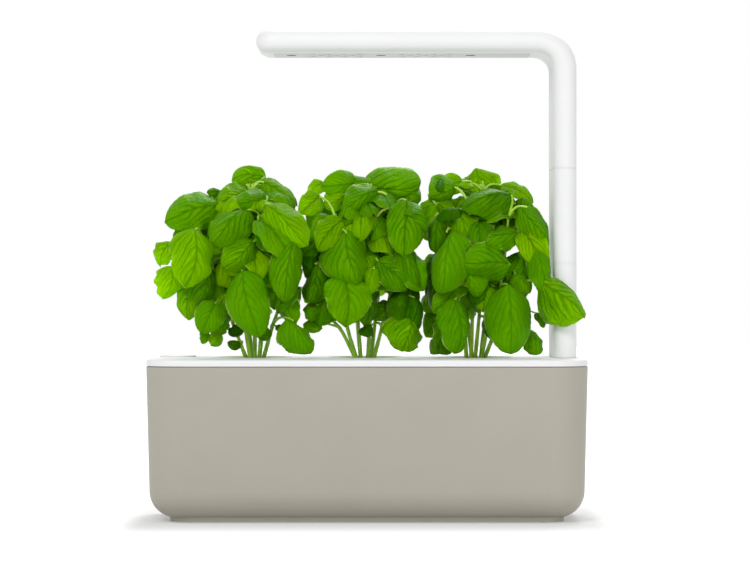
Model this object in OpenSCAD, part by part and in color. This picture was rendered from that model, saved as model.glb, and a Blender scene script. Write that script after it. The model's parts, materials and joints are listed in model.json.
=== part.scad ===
// Countertop hydroponic garden: a water tank, a lid with three plant cups and a float gauge, and an L-shaped
// grow lamp on two extension arms. Origin: middle of the footprint on the surface it stands on. +Y is the back.

/* [Tank] */
// Overall length of the tank and the lid
body_l = 300; // [290:1:330]
// Overall depth of the tank and the lid
body_d = 125; // [120:1:145]
// Corner radius of the tank and the lid in plan
corner_r = 27; // [24:0.5:30]
// Height of the tank's rim above the surface
tank_h = 105.2; // [100:0.1:130]
// Wall thickness of the tank
tank_wall = 2.4; // [2:0.1:2.8]
// How far the tank's walls lean in from rim to floor
draft = 2.6; // [0.5:0.1:4]
// Radius of the tank's bottom edge
bottom_r = 18; // [12:0.5:20]
// Height of the plinth under the tank
plinth_h = 2.6; // [1.5:0.1:5]
// Distance from the rim's outline in to the plinth
plinth_inset = 16; // [14:0.5:20]
// Radius of the rubber feet
foot_r = 6; // [4:0.5:8]
// How far the feet stand out of the plinth
foot_proud = 0.4; // [0.3:0.1:1.5]
// Depth of the pockets that hold the feet
foot_seat = 1.2; // [0.8:0.1:1.6]

/* [Lid] */
// Height of the lid's visible band
lid_h = 5.1; // [4.8:0.1:8]
// Height of the shadow line between the tank and the lid
reveal = 0.7; // [0.4:0.1:1.2]
// Thickness of the lid's top plate
lid_plate = 2.4; // [2.2:0.1:3]
// Thickness of the lid's skirt
lid_skirt = 2.2; // [1.8:0.1:2.4]
// Radius of the lid's upper edge
lid_edge_r = 2.2; // [1.2:0.1:2.6]
// Width of the sloping margin round the lid's top
margin_w = 6.8; // [5:0.1:7]
// Fall of the sloping margin
margin_fall = 0.6; // [0.2:0.1:1]
// How far the locating rib reaches down into the tank
rib_h = 5.2; // [4:0.1:8]
// Thickness of the locating rib
rib_wall = 1.6; // [1.2:0.1:1.8]

/* [Plant cups] */
// Distance of the outer cups from the ends of the lid, before the row's shift
cup_inset = 74; // [72:0.5:75]
// Distance of the middle cup from the middle of the lid
pod_shift = -1.5; // [-2:0.1:0]
// Radius of the lid's holes for the cups
pod_r = 27.5; // [26:0.1:28]
// Width of the cup's flange outside its hole
flange_w = 2; // [1.5:0.1:2.2]
// Thickness of the cup's flange
flange_h = 2; // [1.4:0.1:2.2]
// Depth of a cup below the lid's top
cup_depth = 58; // [50:1:64]
// Radius of the cup's bottom
cup_bottom_r = 20; // [17:0.5:23]
// Wall thickness of the cup
cup_wall = 1.2; // [1:0.1:1.6]
// Width of the wick's sleeve under the cup
sleeve_w = 18; // [14:0.5:20]
// Depth of the wick's sleeve under the cup
sleeve_d = 7; // [6:0.5:9]
// Gap between the wick's end and the tank's floor
wick_gap = 3.6; // [2:0.1:6]

/* [Plants] */
// Length of the largest leaves
leaf_l = 46; // [34:1:48]
// Width of the largest leaves
leaf_w = 36; // [20:1:40]
// Thickness of a leaf at its midrib
leaf_t = 1.2; // [0.8:0.1:1.6]

/* [Float gauge] */
// Radius of the float's cap
float_r = 12.4; // [11.5:0.1:12.6]
// Distance of the float's centre from the end of the lid
float_inset = 19.5; // [19:0.1:22]
// Height of the cap's crown above the lid
float_rise = 2.7; // [2:0.1:4]
// Travel of the float from full to empty
float_travel = 20; // [14:0.5:22]
// Height of the float's bulb
bulb_h = 19; // [14:0.5:20]
// Radius of the filling notch beside the float
notch_r = 7; // [6:0.1:8]

/* [Lamp] */
// Width of the lamp's arm and post
arm_w = 70; // [66:0.5:72]
// Thickness of the lamp's arm and post
arm_t = 16; // [15:0.5:17]
// Length of the arm from the post's outer face to its free end
arm_l = 218.6; // [212:0.1:220]
// Height of the lamp above its lowest joint
head_h = 95; // [88:0.5:110]
// Height of one extension arm
extension_h = 64.5; // [62:0.5:80]
// Outer radius of the elbow
elbow_r = 27; // [25:0.5:32]
// Corner radius of the free end in plan
end_r = 14; // [12:0.5:20]
// Distance from the end of the lid to the post
post_inset = 7.2; // [7:0.1:9]
// Wall thickness of the lamp and the extension arms
lamp_wall = 1.8; // [1.6:0.1:2]
// Length of the tenon that joins one section to the next
tenon_l = 13; // [11:0.5:14]
// Height of the joint line between two sections
seam_h = 0.25; // [0.2:0.05:0.5]
// Length of the light cover
cover_l = 176; // [170:1:178]
// Width of the light cover
cover_w = 44; // [40:0.5:46]
// Distance of the light cover from the arm's free end
cover_inset = 11.8; // [11:0.1:14]
// Distance of the first cover screw from the arm's free end
first_screw = 23.6; // [20:0.1:26]
// Distance between the cover screws
screw_pitch = 61.7; // [60:0.1:63]
// Distance between the rows of lights along the arm
led_pitch = 5.4; // [5:0.1:6]
// Distance of the outer lights from the arm's middle line
led_side = 9; // [7:0.1:12]

/* [Hidden] */
$fn = 96;

eps = 0.01;                 // overrun of a cut past the face it opens
fit_gap = 0.2;              // clearance of a part that slides into another
lid_gap = 0.4;              // clearance of the lid's rib inside the tank
run_gap = 0.5;              // clearance round a float or a loose part

// Heights of the tank and the lid
tank_z = foot_proud + plinth_h;
tank_floor = tank_z + tank_wall;
lid_z = tank_h + reveal;
lid_top = lid_z + lid_h;
lid_under = lid_top - lid_plate;
rib_z = tank_h - rib_h;

// Feet
foot_x = body_l / 2 - plinth_inset - 2.5 * foot_r;
foot_y = body_d / 2 - plinth_inset - 1.7 * foot_r;

// Cups
pod_pitch = body_l / 2 - cup_inset;
pod_x = [for (i = [-1:1]) pod_shift + i * pod_pitch];
flange_r = pod_r + flange_w;
ring_wall = 2.3;
ring_h = 2.2;
bowl_r = pod_r - run_gap;
cup_floor = lid_top - cup_depth;
wick_t = 3.2;
wick_end = tank_floor + wick_gap;
sleeve_end = wick_end + 5;
sleeve_wall = 1;
slot_z = [8, 22];           // places of the sleeve's slots above its end
slot_w = 6;
window_z = 6;               // the cup's drain windows, above its floor
window_w = 3;
window_h = 14;
collar_h = 2;
collar_z = lid_top - collar_h - 1;
crown_r = 8.6;

// Float gauge
float_x = float_inset - body_l / 2;
well_r = float_r + run_gap;
cage_ri = well_r + run_gap;
cage_ro = cage_ri + 1.2;
cap_under = lid_under - 1;
bulb_r = cage_ri - 0.4;
stop_gap = 0.3;
bulb_drop = 3.5;            // distance from the cap's underside to the bulb
bulb_bottom = cap_under - bulb_drop - bulb_h;
cage_floor = bulb_bottom - float_travel - stop_gap;
cage_base = 2;
stem_r = 2.5;
spigot = 6;

// Lamp and its joints
post_x = body_l / 2 - post_inset - arm_t / 2;
joint_z = [lid_top, lid_top + extension_h, lid_top + 2 * extension_h];
lamp_top = joint_z[2] + head_h;
arm_under = lamp_top - arm_t;
arm_x = post_x + arm_t / 2 - arm_l;
elbow_mid = elbow_r - arm_t / 2;
elbow_x = post_x - elbow_mid;
elbow_z = lamp_top - elbow_r;
tenon_wall = 1.4;
web_t = 1.5;
plug_w = 8;
plug_l = 24;
plug_flange = 1;
plug_drop = 1.5;
plug_gap = 0.5;
socket_h = 10;
contact_n = 4;
contact_pitch = 5;
contact_r = 0.8;
contact_l = 6.5;
wire_r = 0.7;

// Dock under the lid
dock_wall = 1.8;
dock_room = 1;
dock_x = arm_t / 2 - lamp_wall + dock_room;
dock_y = arm_w / 2 - lamp_wall + dock_room;
shelf_top = lid_top - tenon_l - plug_drop - plug_gap - plug_flange;
shelf_t = 2;
dock_floor = shelf_top - socket_h - 0.5;
board_t = 1.2;
board_lift = 0.9;
bay_floor = shelf_top - board_t - board_lift;
bay_l = 27.3;                // distance of the bay's far wall from the post
bay_x0 = post_x - bay_l;
bay_y1 = body_d / 2 - tank_wall - lid_gap - rib_wall - run_gap - lid_gap;
bay_y0 = 10;
board_gap = 1.2;            // clearance of the control board in its bay
board_x = bay_x0 + dock_wall + board_gap;
board_y = bay_y0 + dock_wall + board_gap;
board_d = bay_y1 - dock_wall - board_gap - board_y;
rail_l = 12;                // the two rails that the board rests on
rail_w = 2;
rail_in = 3;
chip_w = 5;
chip_t = 1;
can_r = 2;
can_h = 5;
lead_y = 22;                // rear edge of the flat lead from the board to the dock's socket
lead_w = 6;
lead_t = 0.6;
jack_w = 8.2;
jack_h = 8.8;
jack_l = 14.2;
jack_x = bay_x0 + 9;
jack_gap = 0.1;
jack_wall = 1.5;
jack_y = body_d / 2 - 1.3;
jack_z = shelf_top + jack_h / 2;
jack_bore = 3;
jack_pin_r = 1;
jack_depth = 10;
ear_r = 4;
ear_t = 2;
ear_z = rib_z;
boss_r = 3;
screw_r = 1.4;
screw_l = 7;
head_r = 2.8;
head_t = 1.8;
ear_out = boss_r + 0.2;      // distance of an ear's screw from the wall that carries it
dock_side = post_x - dock_x - dock_wall;
ears = [[dock_side - ear_out, -27], [dock_side - ear_out, -2], [bay_x0 - ear_out, 40]];
cage_ears = [for (s = [-1, 1]) [float_x, s * (cage_ro + ear_out)]];

// Lights and cover
rebate = 1;
ledge = 2;
tray_t = 1.4;
tray_top = arm_under + rebate + tray_t;
board_z = tray_top + 1.2;
led_t = 1;
led_w = 3;
led_hole_r = 2.3;
lamp_board_t = 1.6;
spreader_t = 1.5;
recess_r = 3.4;
recess_h = 1.6;
cover_head_r = 3.1;
cover_boss_r = 3.4;
cover_x = arm_x + cover_inset;
screw_x = [for (i = [0:2]) arm_x + first_screw + i * screw_pitch];
led_columns = [for (g = [0:1]) for (c = [-3:3]) [screw_x[g] + screw_pitch / 2 + c * led_pitch, c % 2 == 0]];
led_places = [for (c = led_columns) for (y = c[1] ? [0] : [-led_side, led_side]) [c[0], y]];

// ---- shared shapes ----

// Rectangle with round corners, standing on the XY plane and centred on it
module slab(l, d, r, h) {
    linear_extrude(h) union() {
        square([l - 2 * r, d], center = true);
        square([l, d - 2 * r], center = true);
        for (x = [-1, 1]) for (y = [-1, 1]) translate([x * (l / 2 - r), y * (d / 2 - r)]) circle(r = r);
    }
}

// Rectangle with full-round short sides, w long along Y and t wide along X
module stadium(w, t) {
    union() {
        square([t, w - t], center = true);
        for (s = [-1, 1]) translate([0, s * (w - t) / 2]) circle(r = t / 2);
    }
}

// A body with round corners in plan: its children are the edge profile, measured outwards from a corner's axis
module round_body(l, d, r, z0, z1) {
    lx = l / 2 - r;
    ly = d / 2 - r;
    for (i = [0:3])
        translate([(i == 0 || i == 3) ? lx : -lx, i < 2 ? ly : -ly, 0])
            rotate([0, 0, 90 * i]) rotate_extrude(angle = 90) children();
    for (s = [0, 180]) rotate([0, 0, s]) {
        translate([-lx, ly, 0]) rotate([90, 0, 90]) linear_extrude(2 * lx) children();
        translate([lx, ly, 0]) rotate([90, 0, 0]) linear_extrude(2 * ly) children();
    }
    translate([-lx, -ly, z0]) cube([2 * lx, 2 * ly, z1 - z0]);
}

// Edge profile of the tank: a leaning wall that runs into a round bottom edge
module tank_edge(r, z0, z1, lean, round_r) {
    a = atan(lean / (z1 - z0));
    zc = z0 + round_r;
    cx = r - lean * (z1 - zc) / (z1 - z0) - round_r / cos(a);
    union() {
        polygon([[0, z0], [cx, z0], [cx, zc], [cx + round_r * cos(a), zc - round_r * sin(a)], [r, z1], [0, z1]]);
        translate([cx, zc]) intersection() {
            circle(r = round_r);
            translate([0, -round_r - 1]) square(round_r + 1);
        }
    }
}

// Edge profile of the lid: an upright side, a round edge and a margin that slopes up to the flat top
module lid_edge() {
    s = atan(margin_fall / (margin_w - lid_edge_r));
    flat = corner_r - margin_w;
    cx = corner_r - lid_edge_r;
    cz = lid_top - (cx - flat) * tan(s) - lid_edge_r / cos(s);
    touch = [cx + lid_edge_r * sin(s), cz + lid_edge_r * cos(s)];
    union() {
        polygon([[0, lid_z], [corner_r, lid_z], [corner_r, cz], [cx, cz], touch, [flat, lid_top], [0, lid_top]]);
        translate([cx, cz]) intersection() {
            circle(r = lid_edge_r);
            square(lid_edge_r + 1);
        }
    }
}

// A bar of stadium section along X, with a full-round free end at x0
module arm_bar(x0, x1, w, t, r) {
    rotate([0, 0, 180]) translate([-x0 - r, 0, 0]) for (s = [-1, 1]) mirror([0, s < 0 ? 1 : 0, 0])
        translate([0, w / 2 - r, 0]) rotate_extrude(angle = 90) arm_edge(t, r);
    translate([x0 + r, w / 2 - r, 0]) rotate([90, 0, 0]) linear_extrude(w - 2 * r)
        mirror([1, 0]) arm_edge(t, r);
    translate([x0 + r, 0, 0]) rotate([90, 0, 90]) linear_extrude(x1 - x0 - r) rotate([0, 0, 90]) stadium(w, t);
}

module arm_edge(t, r) {
    union() {
        translate([0, -t / 2]) square([r - t / 2, t]);
        translate([r - t / 2, 0]) intersection() {
            circle(r = t / 2);
            translate([0, -t]) square([t, 2 * t]);
        }
    }
}

// Flat-sided tube section of a post, from z0 up to z1
module post(w, t, z0, z1) {
    translate([post_x, 0, z0]) linear_extrude(z1 - z0) stadium(w, t);
}

// Rectangular block centred in X and Y on a point
module block(x, y, z, l, d, h) {
    translate([x - l / 2, y - d / 2, z]) cube([l, d, h]);
}

// ---- tank ----

module tank() {
    color([0.69, 0.675, 0.62]) difference() {
        union() {
            round_body(body_l, body_d, corner_r, tank_z, tank_h)
                tank_edge(corner_r, tank_z, tank_h, draft, bottom_r);
            translate([0, 0, foot_proud])
                slab(body_l - 2 * plinth_inset, body_d - 2 * plinth_inset, corner_r - 13, plinth_h + tank_wall / 2);
            translate([0, 0, tank_h - 1])
                slab(body_l - tank_wall, body_d - tank_wall, corner_r - tank_wall / 2, reveal + 1);
        }
        round_body(body_l - 2 * tank_wall, body_d - 2 * tank_wall, corner_r - tank_wall, tank_floor, lid_z + 1)
            tank_edge(corner_r - tank_wall, tank_floor, lid_z + 1, draft, bottom_r - tank_wall);
        for (x = [-1, 1]) for (y = [-1, 1]) translate([x * foot_x, y * foot_y, foot_proud - 1])
            cylinder(r = foot_r + fit_gap, h = foot_seat + 1);
        notch_w = jack_w + 2 * (jack_gap + jack_wall + lid_gap);
        notch_z = jack_z - jack_h / 2 - jack_gap - jack_wall - lid_gap;
        translate([jack_x - notch_w / 2, body_d / 2 - 3 * tank_wall, notch_z])
            cube([notch_w, 4 * tank_wall, lid_z + 1 - notch_z]);
    }
}

module foot_pads() {
    color([0.25, 0.25, 0.25]) for (x = [-1, 1]) for (y = [-1, 1]) translate([x * foot_x, y * foot_y, 0])
        rotate_extrude() polygon([[0, 0], [foot_r - 0.5, 0], [foot_r, 0.5], [foot_r, foot_proud + foot_seat],
            [0, foot_proud + foot_seat]]);
}

// ---- lid and lamp dock ----

module lid() {
    color([0.95, 0.95, 0.95]) difference() {
        union() {
            difference() {
                round_body(body_l, body_d, corner_r, lid_z, lid_top) lid_edge();
                translate([0, 0, lid_z - 1])
                    slab(body_l - 2 * lid_skirt, body_d - 2 * lid_skirt, corner_r - lid_skirt, lid_under - lid_z + 1);
            }
            locating_rib();
            for (x = pod_x) translate([x, 0, lid_under - ring_h]) cylinder(r = flange_r + ring_wall, h = ring_h + 1);
            for (p = concat(ears, cage_ears)) translate([p[0], p[1], ear_z])
                cylinder(r = boss_r, h = lid_under - ear_z + 1);
        }
        for (x = pod_x) translate([x, 0, 0]) {
            translate([0, 0, lid_under - ring_h - 1]) cylinder(r = pod_r, h = ring_h + lid_plate + 2);
            translate([0, 0, lid_top - flange_h]) cylinder(r = flange_r + fit_gap, h = flange_h + 1);
        }
        translate([float_x, 0, lid_under - 1]) cylinder(r = well_r, h = lid_plate + 2);
        translate([float_x + well_r + 2, 0, lid_under - 1]) cylinder(r = notch_r, h = lid_plate + 2);
        translate([post_x, 0, lid_under - 1]) linear_extrude(lid_plate + 2)
            stadium(arm_w - 2 * lamp_wall, arm_t - 2 * lamp_wall);
        for (p = concat(ears, cage_ears)) translate([p[0], p[1], ear_z - 1])
            cylinder(r = screw_r + jack_gap, h = screw_l + 2);
    }
}

// Rib that centres the lid in the tank, open where the power inlet passes
module locating_rib() {
    out = tank_wall + lid_gap;
    gap_w = jack_w + 2 * (jack_gap + jack_wall + run_gap);
    difference() {
        translate([0, 0, rib_z]) slab(body_l - 2 * out, body_d - 2 * out, corner_r - out, lid_under - rib_z + eps);
        translate([0, 0, rib_z - 1]) slab(body_l - 2 * (out + rib_wall), body_d - 2 * (out + rib_wall),
            corner_r - out - rib_wall, lid_under - rib_z + 2);
        translate([jack_x - gap_w / 2, bay_y1, rib_z - 1]) cube([gap_w, 6, lid_under - rib_z + 1]);
    }
}

// Sealed housing under the lid: a well for the lamp's tenon and a bay for the board and the power inlet
module lamp_dock() {
    color([0.9, 0.9, 0.9]) difference() {
        union() {
            translate([post_x, 0, dock_floor - dock_wall])
                slab(2 * (dock_x + dock_wall), 2 * (dock_y + dock_wall), 4, lid_under - dock_floor + dock_wall);
            bay(0, bay_floor - dock_wall);
            nozzle(0);
            for (p = ears) translate([p[0], p[1], ear_z - ear_t]) cylinder(r = ear_r, h = ear_t);
        }
        difference() {
            translate([post_x, 0, dock_floor]) slab(2 * dock_x, 2 * dock_y, 2.2, lid_under - dock_floor + 1);
            block(post_x, 0, shelf_top - shelf_t, 2 * dock_x + 1, 2 * dock_y + 1, shelf_t);
        }
        block(post_x, 0, shelf_top - shelf_t - 1, plug_w + 2 * fit_gap, plug_l + 2 * fit_gap, shelf_t + 2);
        bay(dock_wall, bay_floor);
        translate([dock_side - 1, bay_y0 + dock_wall, shelf_top])
            cube([dock_wall + 2, dock_y - bay_y0 - 2 * dock_wall, lid_under - shelf_top + 1]);
        nozzle(jack_wall);
        for (p = ears) translate([p[0], p[1], ear_z - ear_t - 1]) cylinder(r = screw_r + fit_gap, h = ear_t + 2);
    }
    color([0.9, 0.9, 0.9]) for (y = [board_y + rail_in, board_y + board_d - rail_in - rail_w])
        translate([board_x, y, bay_floor - eps]) cube([rail_l, rail_w, board_lift + eps]);
}

// Bay for the control board, set in from its outline by the given wall
module bay(inset, z) {
    translate([bay_x0 + inset, bay_y0 + inset, z])
        cube([post_x - dock_x - bay_x0 - 2 * inset, bay_y1 - bay_y0 - 2 * inset,
            lid_under - z + (inset > 0 ? 1 : 0)]);
}

// Mouth of the power inlet in the tank's rear wall
module nozzle(inset) {
    w = jack_w + 2 * (jack_gap + jack_wall - inset);
    h = jack_h + 2 * (jack_gap + jack_wall - inset);
    translate([jack_x - w / 2, bay_y1 - dock_wall - inset, jack_z - h / 2])
        cube([w, jack_y - bay_y1 + dock_wall + 2 * inset + (inset > 0 ? 1 : 0), h]);
}

module lid_screws() {
    color([0.7, 0.7, 0.72]) for (p = concat(ears, cage_ears)) translate([p[0], p[1], ear_z - ear_t])
        screw(screw_r, screw_l, head_r, head_t);
}

// A pan-head screw that points up, with its head under z = 0 and a cross recess
module screw(r, l, hr, ht) {
    difference() {
        union() {
            cylinder(r = r, h = l);
            translate([0, 0, -ht]) cylinder(r = hr, h = ht);
        }
        for (a = [0, 90]) rotate([0, 0, a]) translate([-hr * 0.6, -0.3, -ht - 1]) cube([hr * 1.2, 0.6, 1.8]);
    }
}

module control_board() {
    color([0.1, 0.4, 0.2]) union() {
        translate([board_x, board_y, shelf_top - board_t])
            cube([dock_side - board_gap - board_x, board_d, board_t]);
        block(board_x + chip_w, board_y + board_d / 2, shelf_top - eps, chip_w, chip_w, chip_t + eps);
        block(board_x + chip_w, board_y + chip_w, shelf_top - eps, chip_w / 2, chip_t * 2, chip_t + eps);
        translate([board_x + chip_w * 1.5 + can_r, board_y + board_d / 2 + chip_w / 2, shelf_top - eps])
            cylinder(r = can_r, h = can_h);
    }
}

module power_jack() {
    color([0.12, 0.12, 0.12]) difference() {
        translate([jack_x - jack_w / 2, jack_y - 0.7 - jack_l, shelf_top]) cube([jack_w, jack_l, jack_h]);
        translate([jack_x, jack_y, jack_z]) rotate([90, 0, 0]) cylinder(r = jack_bore, h = jack_depth + 0.7);
    }
}

module jack_pin() {
    color([0.8, 0.75, 0.5]) translate([jack_x, jack_y - 2, jack_z]) rotate([90, 0, 0])
        cylinder(r = jack_pin_r, h = jack_depth - 1.3);
}

module dock_socket() {
    socket(lid_top);
}

module dock_wires() {
    side = lead_w / 2;
    x0 = board_x + rail_l - rail_in;
    y0 = plug_l / 2 + 1;
    color([0.5, 0.5, 0.52]) translate([0, 0, shelf_top]) linear_extrude(lead_t)
        polygon([[x0, lead_y], [post_x + side, lead_y], [post_x + side, y0], [post_x - side, y0],
            [post_x - side, lead_y - lead_w], [x0, lead_y - lead_w]]);
}

// ---- float gauge ----

module float_cage() {
    color([0.88, 0.88, 0.88]) translate([float_x, 0, 0]) difference() {
        union() {
            translate([0, 0, cage_floor - cage_base]) cylinder(r = cage_ro, h = lid_under - cage_floor + cage_base);
            for (s = [-1, 1]) translate([0, s * (cage_ro + ear_out), ear_z - ear_t]) cylinder(r = ear_r, h = ear_t);
        }
        translate([0, 0, cage_floor]) cylinder(r = cage_ri, h = lid_under - cage_floor + 1);
        translate([0, 0, cage_floor - cage_base - 1]) cylinder(r = cage_ri - 4, h = cage_base + 2);
        for (a = [45:90:315]) rotate([0, 0, a])
            translate([0, -4, cage_floor + 6]) cube([cage_ro + 1, 8, bulb_h + 8]);
        translate([0, -5, ear_z - 10]) cube([cage_ro + 1, 10, lid_under - ear_z + 11]);
        for (s = [-1, 1]) translate([0, s * (cage_ro + ear_out), ear_z - ear_t - 1])
            cylinder(r = screw_r + fit_gap, h = ear_t + 2);
    }
}

module float_cap() {
    dome_h = 1.6;
    dome_r = (float_r * float_r + dome_h * dome_h) / (2 * dome_h);
    top = lid_top + float_rise;
    color([0.96, 0.96, 0.96]) translate([float_x, 0, 0]) difference() {
        union() {
            intersection() {
                translate([0, 0, cap_under]) cylinder(r = float_r, h = top - cap_under);
                translate([0, 0, top - dome_r]) sphere(r = dome_r);
            }
            stem_z = bulb_bottom + bulb_h - spigot;
            translate([0, 0, stem_z]) cylinder(r = stem_r, h = top - dome_h - 1 - stem_z);
        }
        translate([0, 0, cap_under - 1]) difference() {
            cylinder(r = float_r - 1.2, h = top - dome_h - 1.4 - cap_under + 1);
            translate([0, 0, -1]) cylinder(r = stem_r + 0.8, h = top - cap_under);
        }
    }
}

module float_bulb() {
    color([0.85, 0.85, 0.85]) translate([float_x, 0, bulb_bottom]) difference() {
        rotate_extrude() polygon([[0, 0], [bulb_r - 3, 0], [bulb_r, 3], [bulb_r, bulb_h - 2], [bulb_r - 2, bulb_h],
            [0, bulb_h]]);
        translate([0, 0, bulb_h - spigot]) cylinder(r = stem_r + jack_gap, h = spigot + 1);
    }
}

// ---- plant cups ----

module plant_cup(i) {
    color([0.93, 0.93, 0.92]) translate([pod_x[i], 0, 0]) difference() {
        union() {
            rotate_extrude() polygon([[0, cup_floor], [cup_bottom_r, cup_floor], [bowl_r, lid_top - flange_h],
                [flange_r, lid_top - flange_h], [flange_r, lid_top], [0, lid_top]]);
            block(0, 0, sleeve_end, sleeve_w, sleeve_d, cup_floor - sleeve_end + cup_wall / 2);
        }
        rotate_extrude() polygon([[0, cup_floor + cup_wall], [bowl_at(cup_floor + cup_wall), cup_floor + cup_wall],
            [bowl_r - cup_wall, lid_top - flange_h], [bowl_r - cup_wall, lid_top + 1], [0, lid_top + 1]]);
        block(0, 0, sleeve_end - 1, sleeve_w - 2 * sleeve_wall, sleeve_d - 2 * sleeve_wall,
            cup_floor - sleeve_end + cup_wall + 2);
        for (z = slot_z)
            block(0, 0, sleeve_end + z, slot_w, sleeve_d + 2, slot_w);
        for (a = [0:45:315]) rotate([0, 0, a + 22.5])
            translate([cup_bottom_r - 4, -window_w / 2, cup_floor + window_z]) cube([10, window_w, window_h]);
    }
}

// Inner radius of the cup at a height
function bowl_at(z) = cup_bottom_r + (bowl_r - cup_bottom_r) * (z - cup_floor) / (lid_top - flange_h - cup_floor)
    - cup_wall;

module wick(i) {
    color([0.92, 0.9, 0.85]) block(pod_x[i], 0, wick_end, sleeve_w - 2 * sleeve_wall - 2 * fit_gap, wick_t,
        cup_floor + cup_wall - wick_end);
}

module soil(i) {
    z0 = cup_floor + cup_wall;
    color([0.24, 0.17, 0.12]) translate([pod_x[i], 0, 0]) rotate_extrude()
        polygon([[0, z0], [bowl_at(z0) - fit_gap, z0], [bowl_at(collar_z) - fit_gap, collar_z], [0, collar_z]]);
}

// Ring that keeps the soil in, with a raised lip round the stems' hole
module collar(i) {
    r = bowl_r - cup_wall - fit_gap;
    ri = crown_r + 0.4;
    color([0.9, 0.89, 0.86]) translate([pod_x[i], 0, collar_z]) rotate_extrude()
        polygon([[ri, 0], [r, 0], [r, collar_h - 0.6], [ri + 2, collar_h], [ri, collar_h]]);
}

// ---- plants ----
// Places on a plant are measured from the cup's middle on the lid's top: across, back and up.

plant_cell = 76;            // pitch of the cups that the plants are drawn for
across = pod_pitch / plant_cell;

// Stems: each is a line of places from the cup upwards
stems_list = [
    [
        [[-6, 0, -1], [-13, -6, 18], [-28, -13, 60], [-38, -20, 88]],
        [[-3, -3, -1], [-8, -8, 30], [-13, -14, 62], [-16, -22, 100]],
        [[0, 0, -1], [0, -5, 40], [0, -8, 80], [-2, -6, 114]],
        [[3, -2, -1], [6, -8, 32], [8, -16, 66], [6, -24, 100]],
        [[6, 0, -1], [12, -7, 20], [18, -14, 40], [22, -20, 80]],
        [[-2, 5, -1], [-8, 12, 45], [-20, 18, 98]],
        [[3, 5, -1], [8, 12, 50], [14, 18, 104]],
        [[-6, 2, -1], [-16, 2, 26], [-34, 2, 62], [-42, 0, 84]],
        [[5, 3, -1], [14, 4, 24], [23, 4, 56], [24, -2, 108]]
    ],
    [
        [[-6.5, 0, -1], [-16, -7, 18], [-26, -14, 34], [-28, -18, 78]],
        [[-6, -3, -1], [-12, -9, 20], [-17, -16, 46], [-20, -20, 94]],
        [[-3, -1, -1], [-5, -8, 30], [-6, -12, 66], [-6, -8, 112]],
        [[2, -2, -1], [4, -8, 30], [8, -16, 60], [8, -22, 96]],
        [[6, 0, -1], [12, -7, 22], [18, -14, 50], [20, -16, 102]],
        [[-3, 5, -1], [-8, 12, 50], [-14, 20, 102]],
        [[4, 5, -1], [10, 12, 50], [16, 18, 106]],
        [[6.5, 2, -1], [17, 2, 20], [27, 0, 48], [28, -2, 110]],
        [[-6.5, 2, -1], [-17, 2, 24], [-26, 2, 50], [-27, 0, 102]]
    ],
    [
        [[-6, 0, -1], [-8, -8, 26], [-12, -16, 50], [-18, -20, 94]],
        [[-3, -3, -1], [-2, -8, 34], [-2, -14, 66], [-4, -22, 100]],
        [[0, 0, -1], [3, -8, 34], [5, -12, 66], [6, -8, 114]],
        [[4, -2, -1], [10, -9, 28], [18, -16, 54], [22, -20, 96]],
        [[6.5, 0, -1], [16, -7, 24], [28, -18, 52], [34, -36, 82]],
        [[-2, 5, -1], [-8, 12, 50], [-14, 20, 100]],
        [[4, 5, -1], [10, 12, 50], [18, 16, 104]],
        [[-6.5, 2, -1], [-14, 2, 26], [-22, 0, 56], [-23, -4, 108]],
        [[6.5, 1, -1], [17, -2, 24], [30, -4, 62], [34, -6, 98]]
    ]
];

// Leaves grow in opposite pairs at the nodes of a stem, each pair a quarter turn from the one below
node_share = [0.4, 0.55, 0.7, 0.86, 1];     // places of the nodes along a stem
node_size = [0.62, 0.86, 1, 1, 0.9];        // size of their leaves, as a share of the largest
node_pitch = [-54, -50, -40, -24, 10];      // rise of the leaves, in degrees
turn_spread = 35;                           // how far the pairs of one stem are turned from those of the next
inward_size = 0.6;                          // size of a leaf that points into the plant
front_share = 0.2;                          // how much longer the leaves at the front are than those at a side
swings = [0, 30, -30, 60, -60];             // how far a leaf swings aside for room, in the order of choice
room_share = 0.7;                           // share of its length that a leaf needs room for
stalk_l = 8;
stalk_r = 1.1;
stalk_rise = 0.3;
look_out = 20;                              // how much a leaf's face looks out from the plant
look_up = 24;                               // how much it looks up
bow = 0.1;                              // bulge of a leaf towards its face, as a share of its length
fold = 0.18;                            // fall of a leaf's edges, as a share of its width
stations = [0, 0.28, 0.8];              // shares of a leaf's length, from the end of its stalk
leaf_room = 1.6;                        // least distance of a leaf from the lid and from the next plant
border_shift = [-3, 3.5];               // place of the border between two plants, from the middle of their cups
back_room = 15;                         // distance of the leaves from the back of the lid
end_room = 4;                           // distance of the leaves from the end of the lid
least_leaf = 14;                        // length under which a leaf isn't grown

function unit(v) = v / norm(v);
function place(i, p) = [pod_x[i] + p[0] * across, p[1], lid_top + p[2]];
function along(s, u) = let(n = len(s) - 1, k = min(floor(u * n), n - 1)) s[k] + (s[k + 1] - s[k]) * (u * n - k);
// How far a plant may reach to a side: to its neighbour, to the end of the lid or to the lamp's post
function side_limit(i, sign, y) = sign < 0
    ? (i == 0 ? body_l / 2 + pod_x[i] : pod_pitch / 2 - border_shift[i - 1] * across)
    : (i < 2 ? pod_pitch / 2 + border_shift[i] * across : y < -arm_w / 2 - leaf_room ? body_l / 2 - pod_x[i] - end_room
        : post_x - arm_t / 2 - pod_x[i]);
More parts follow.
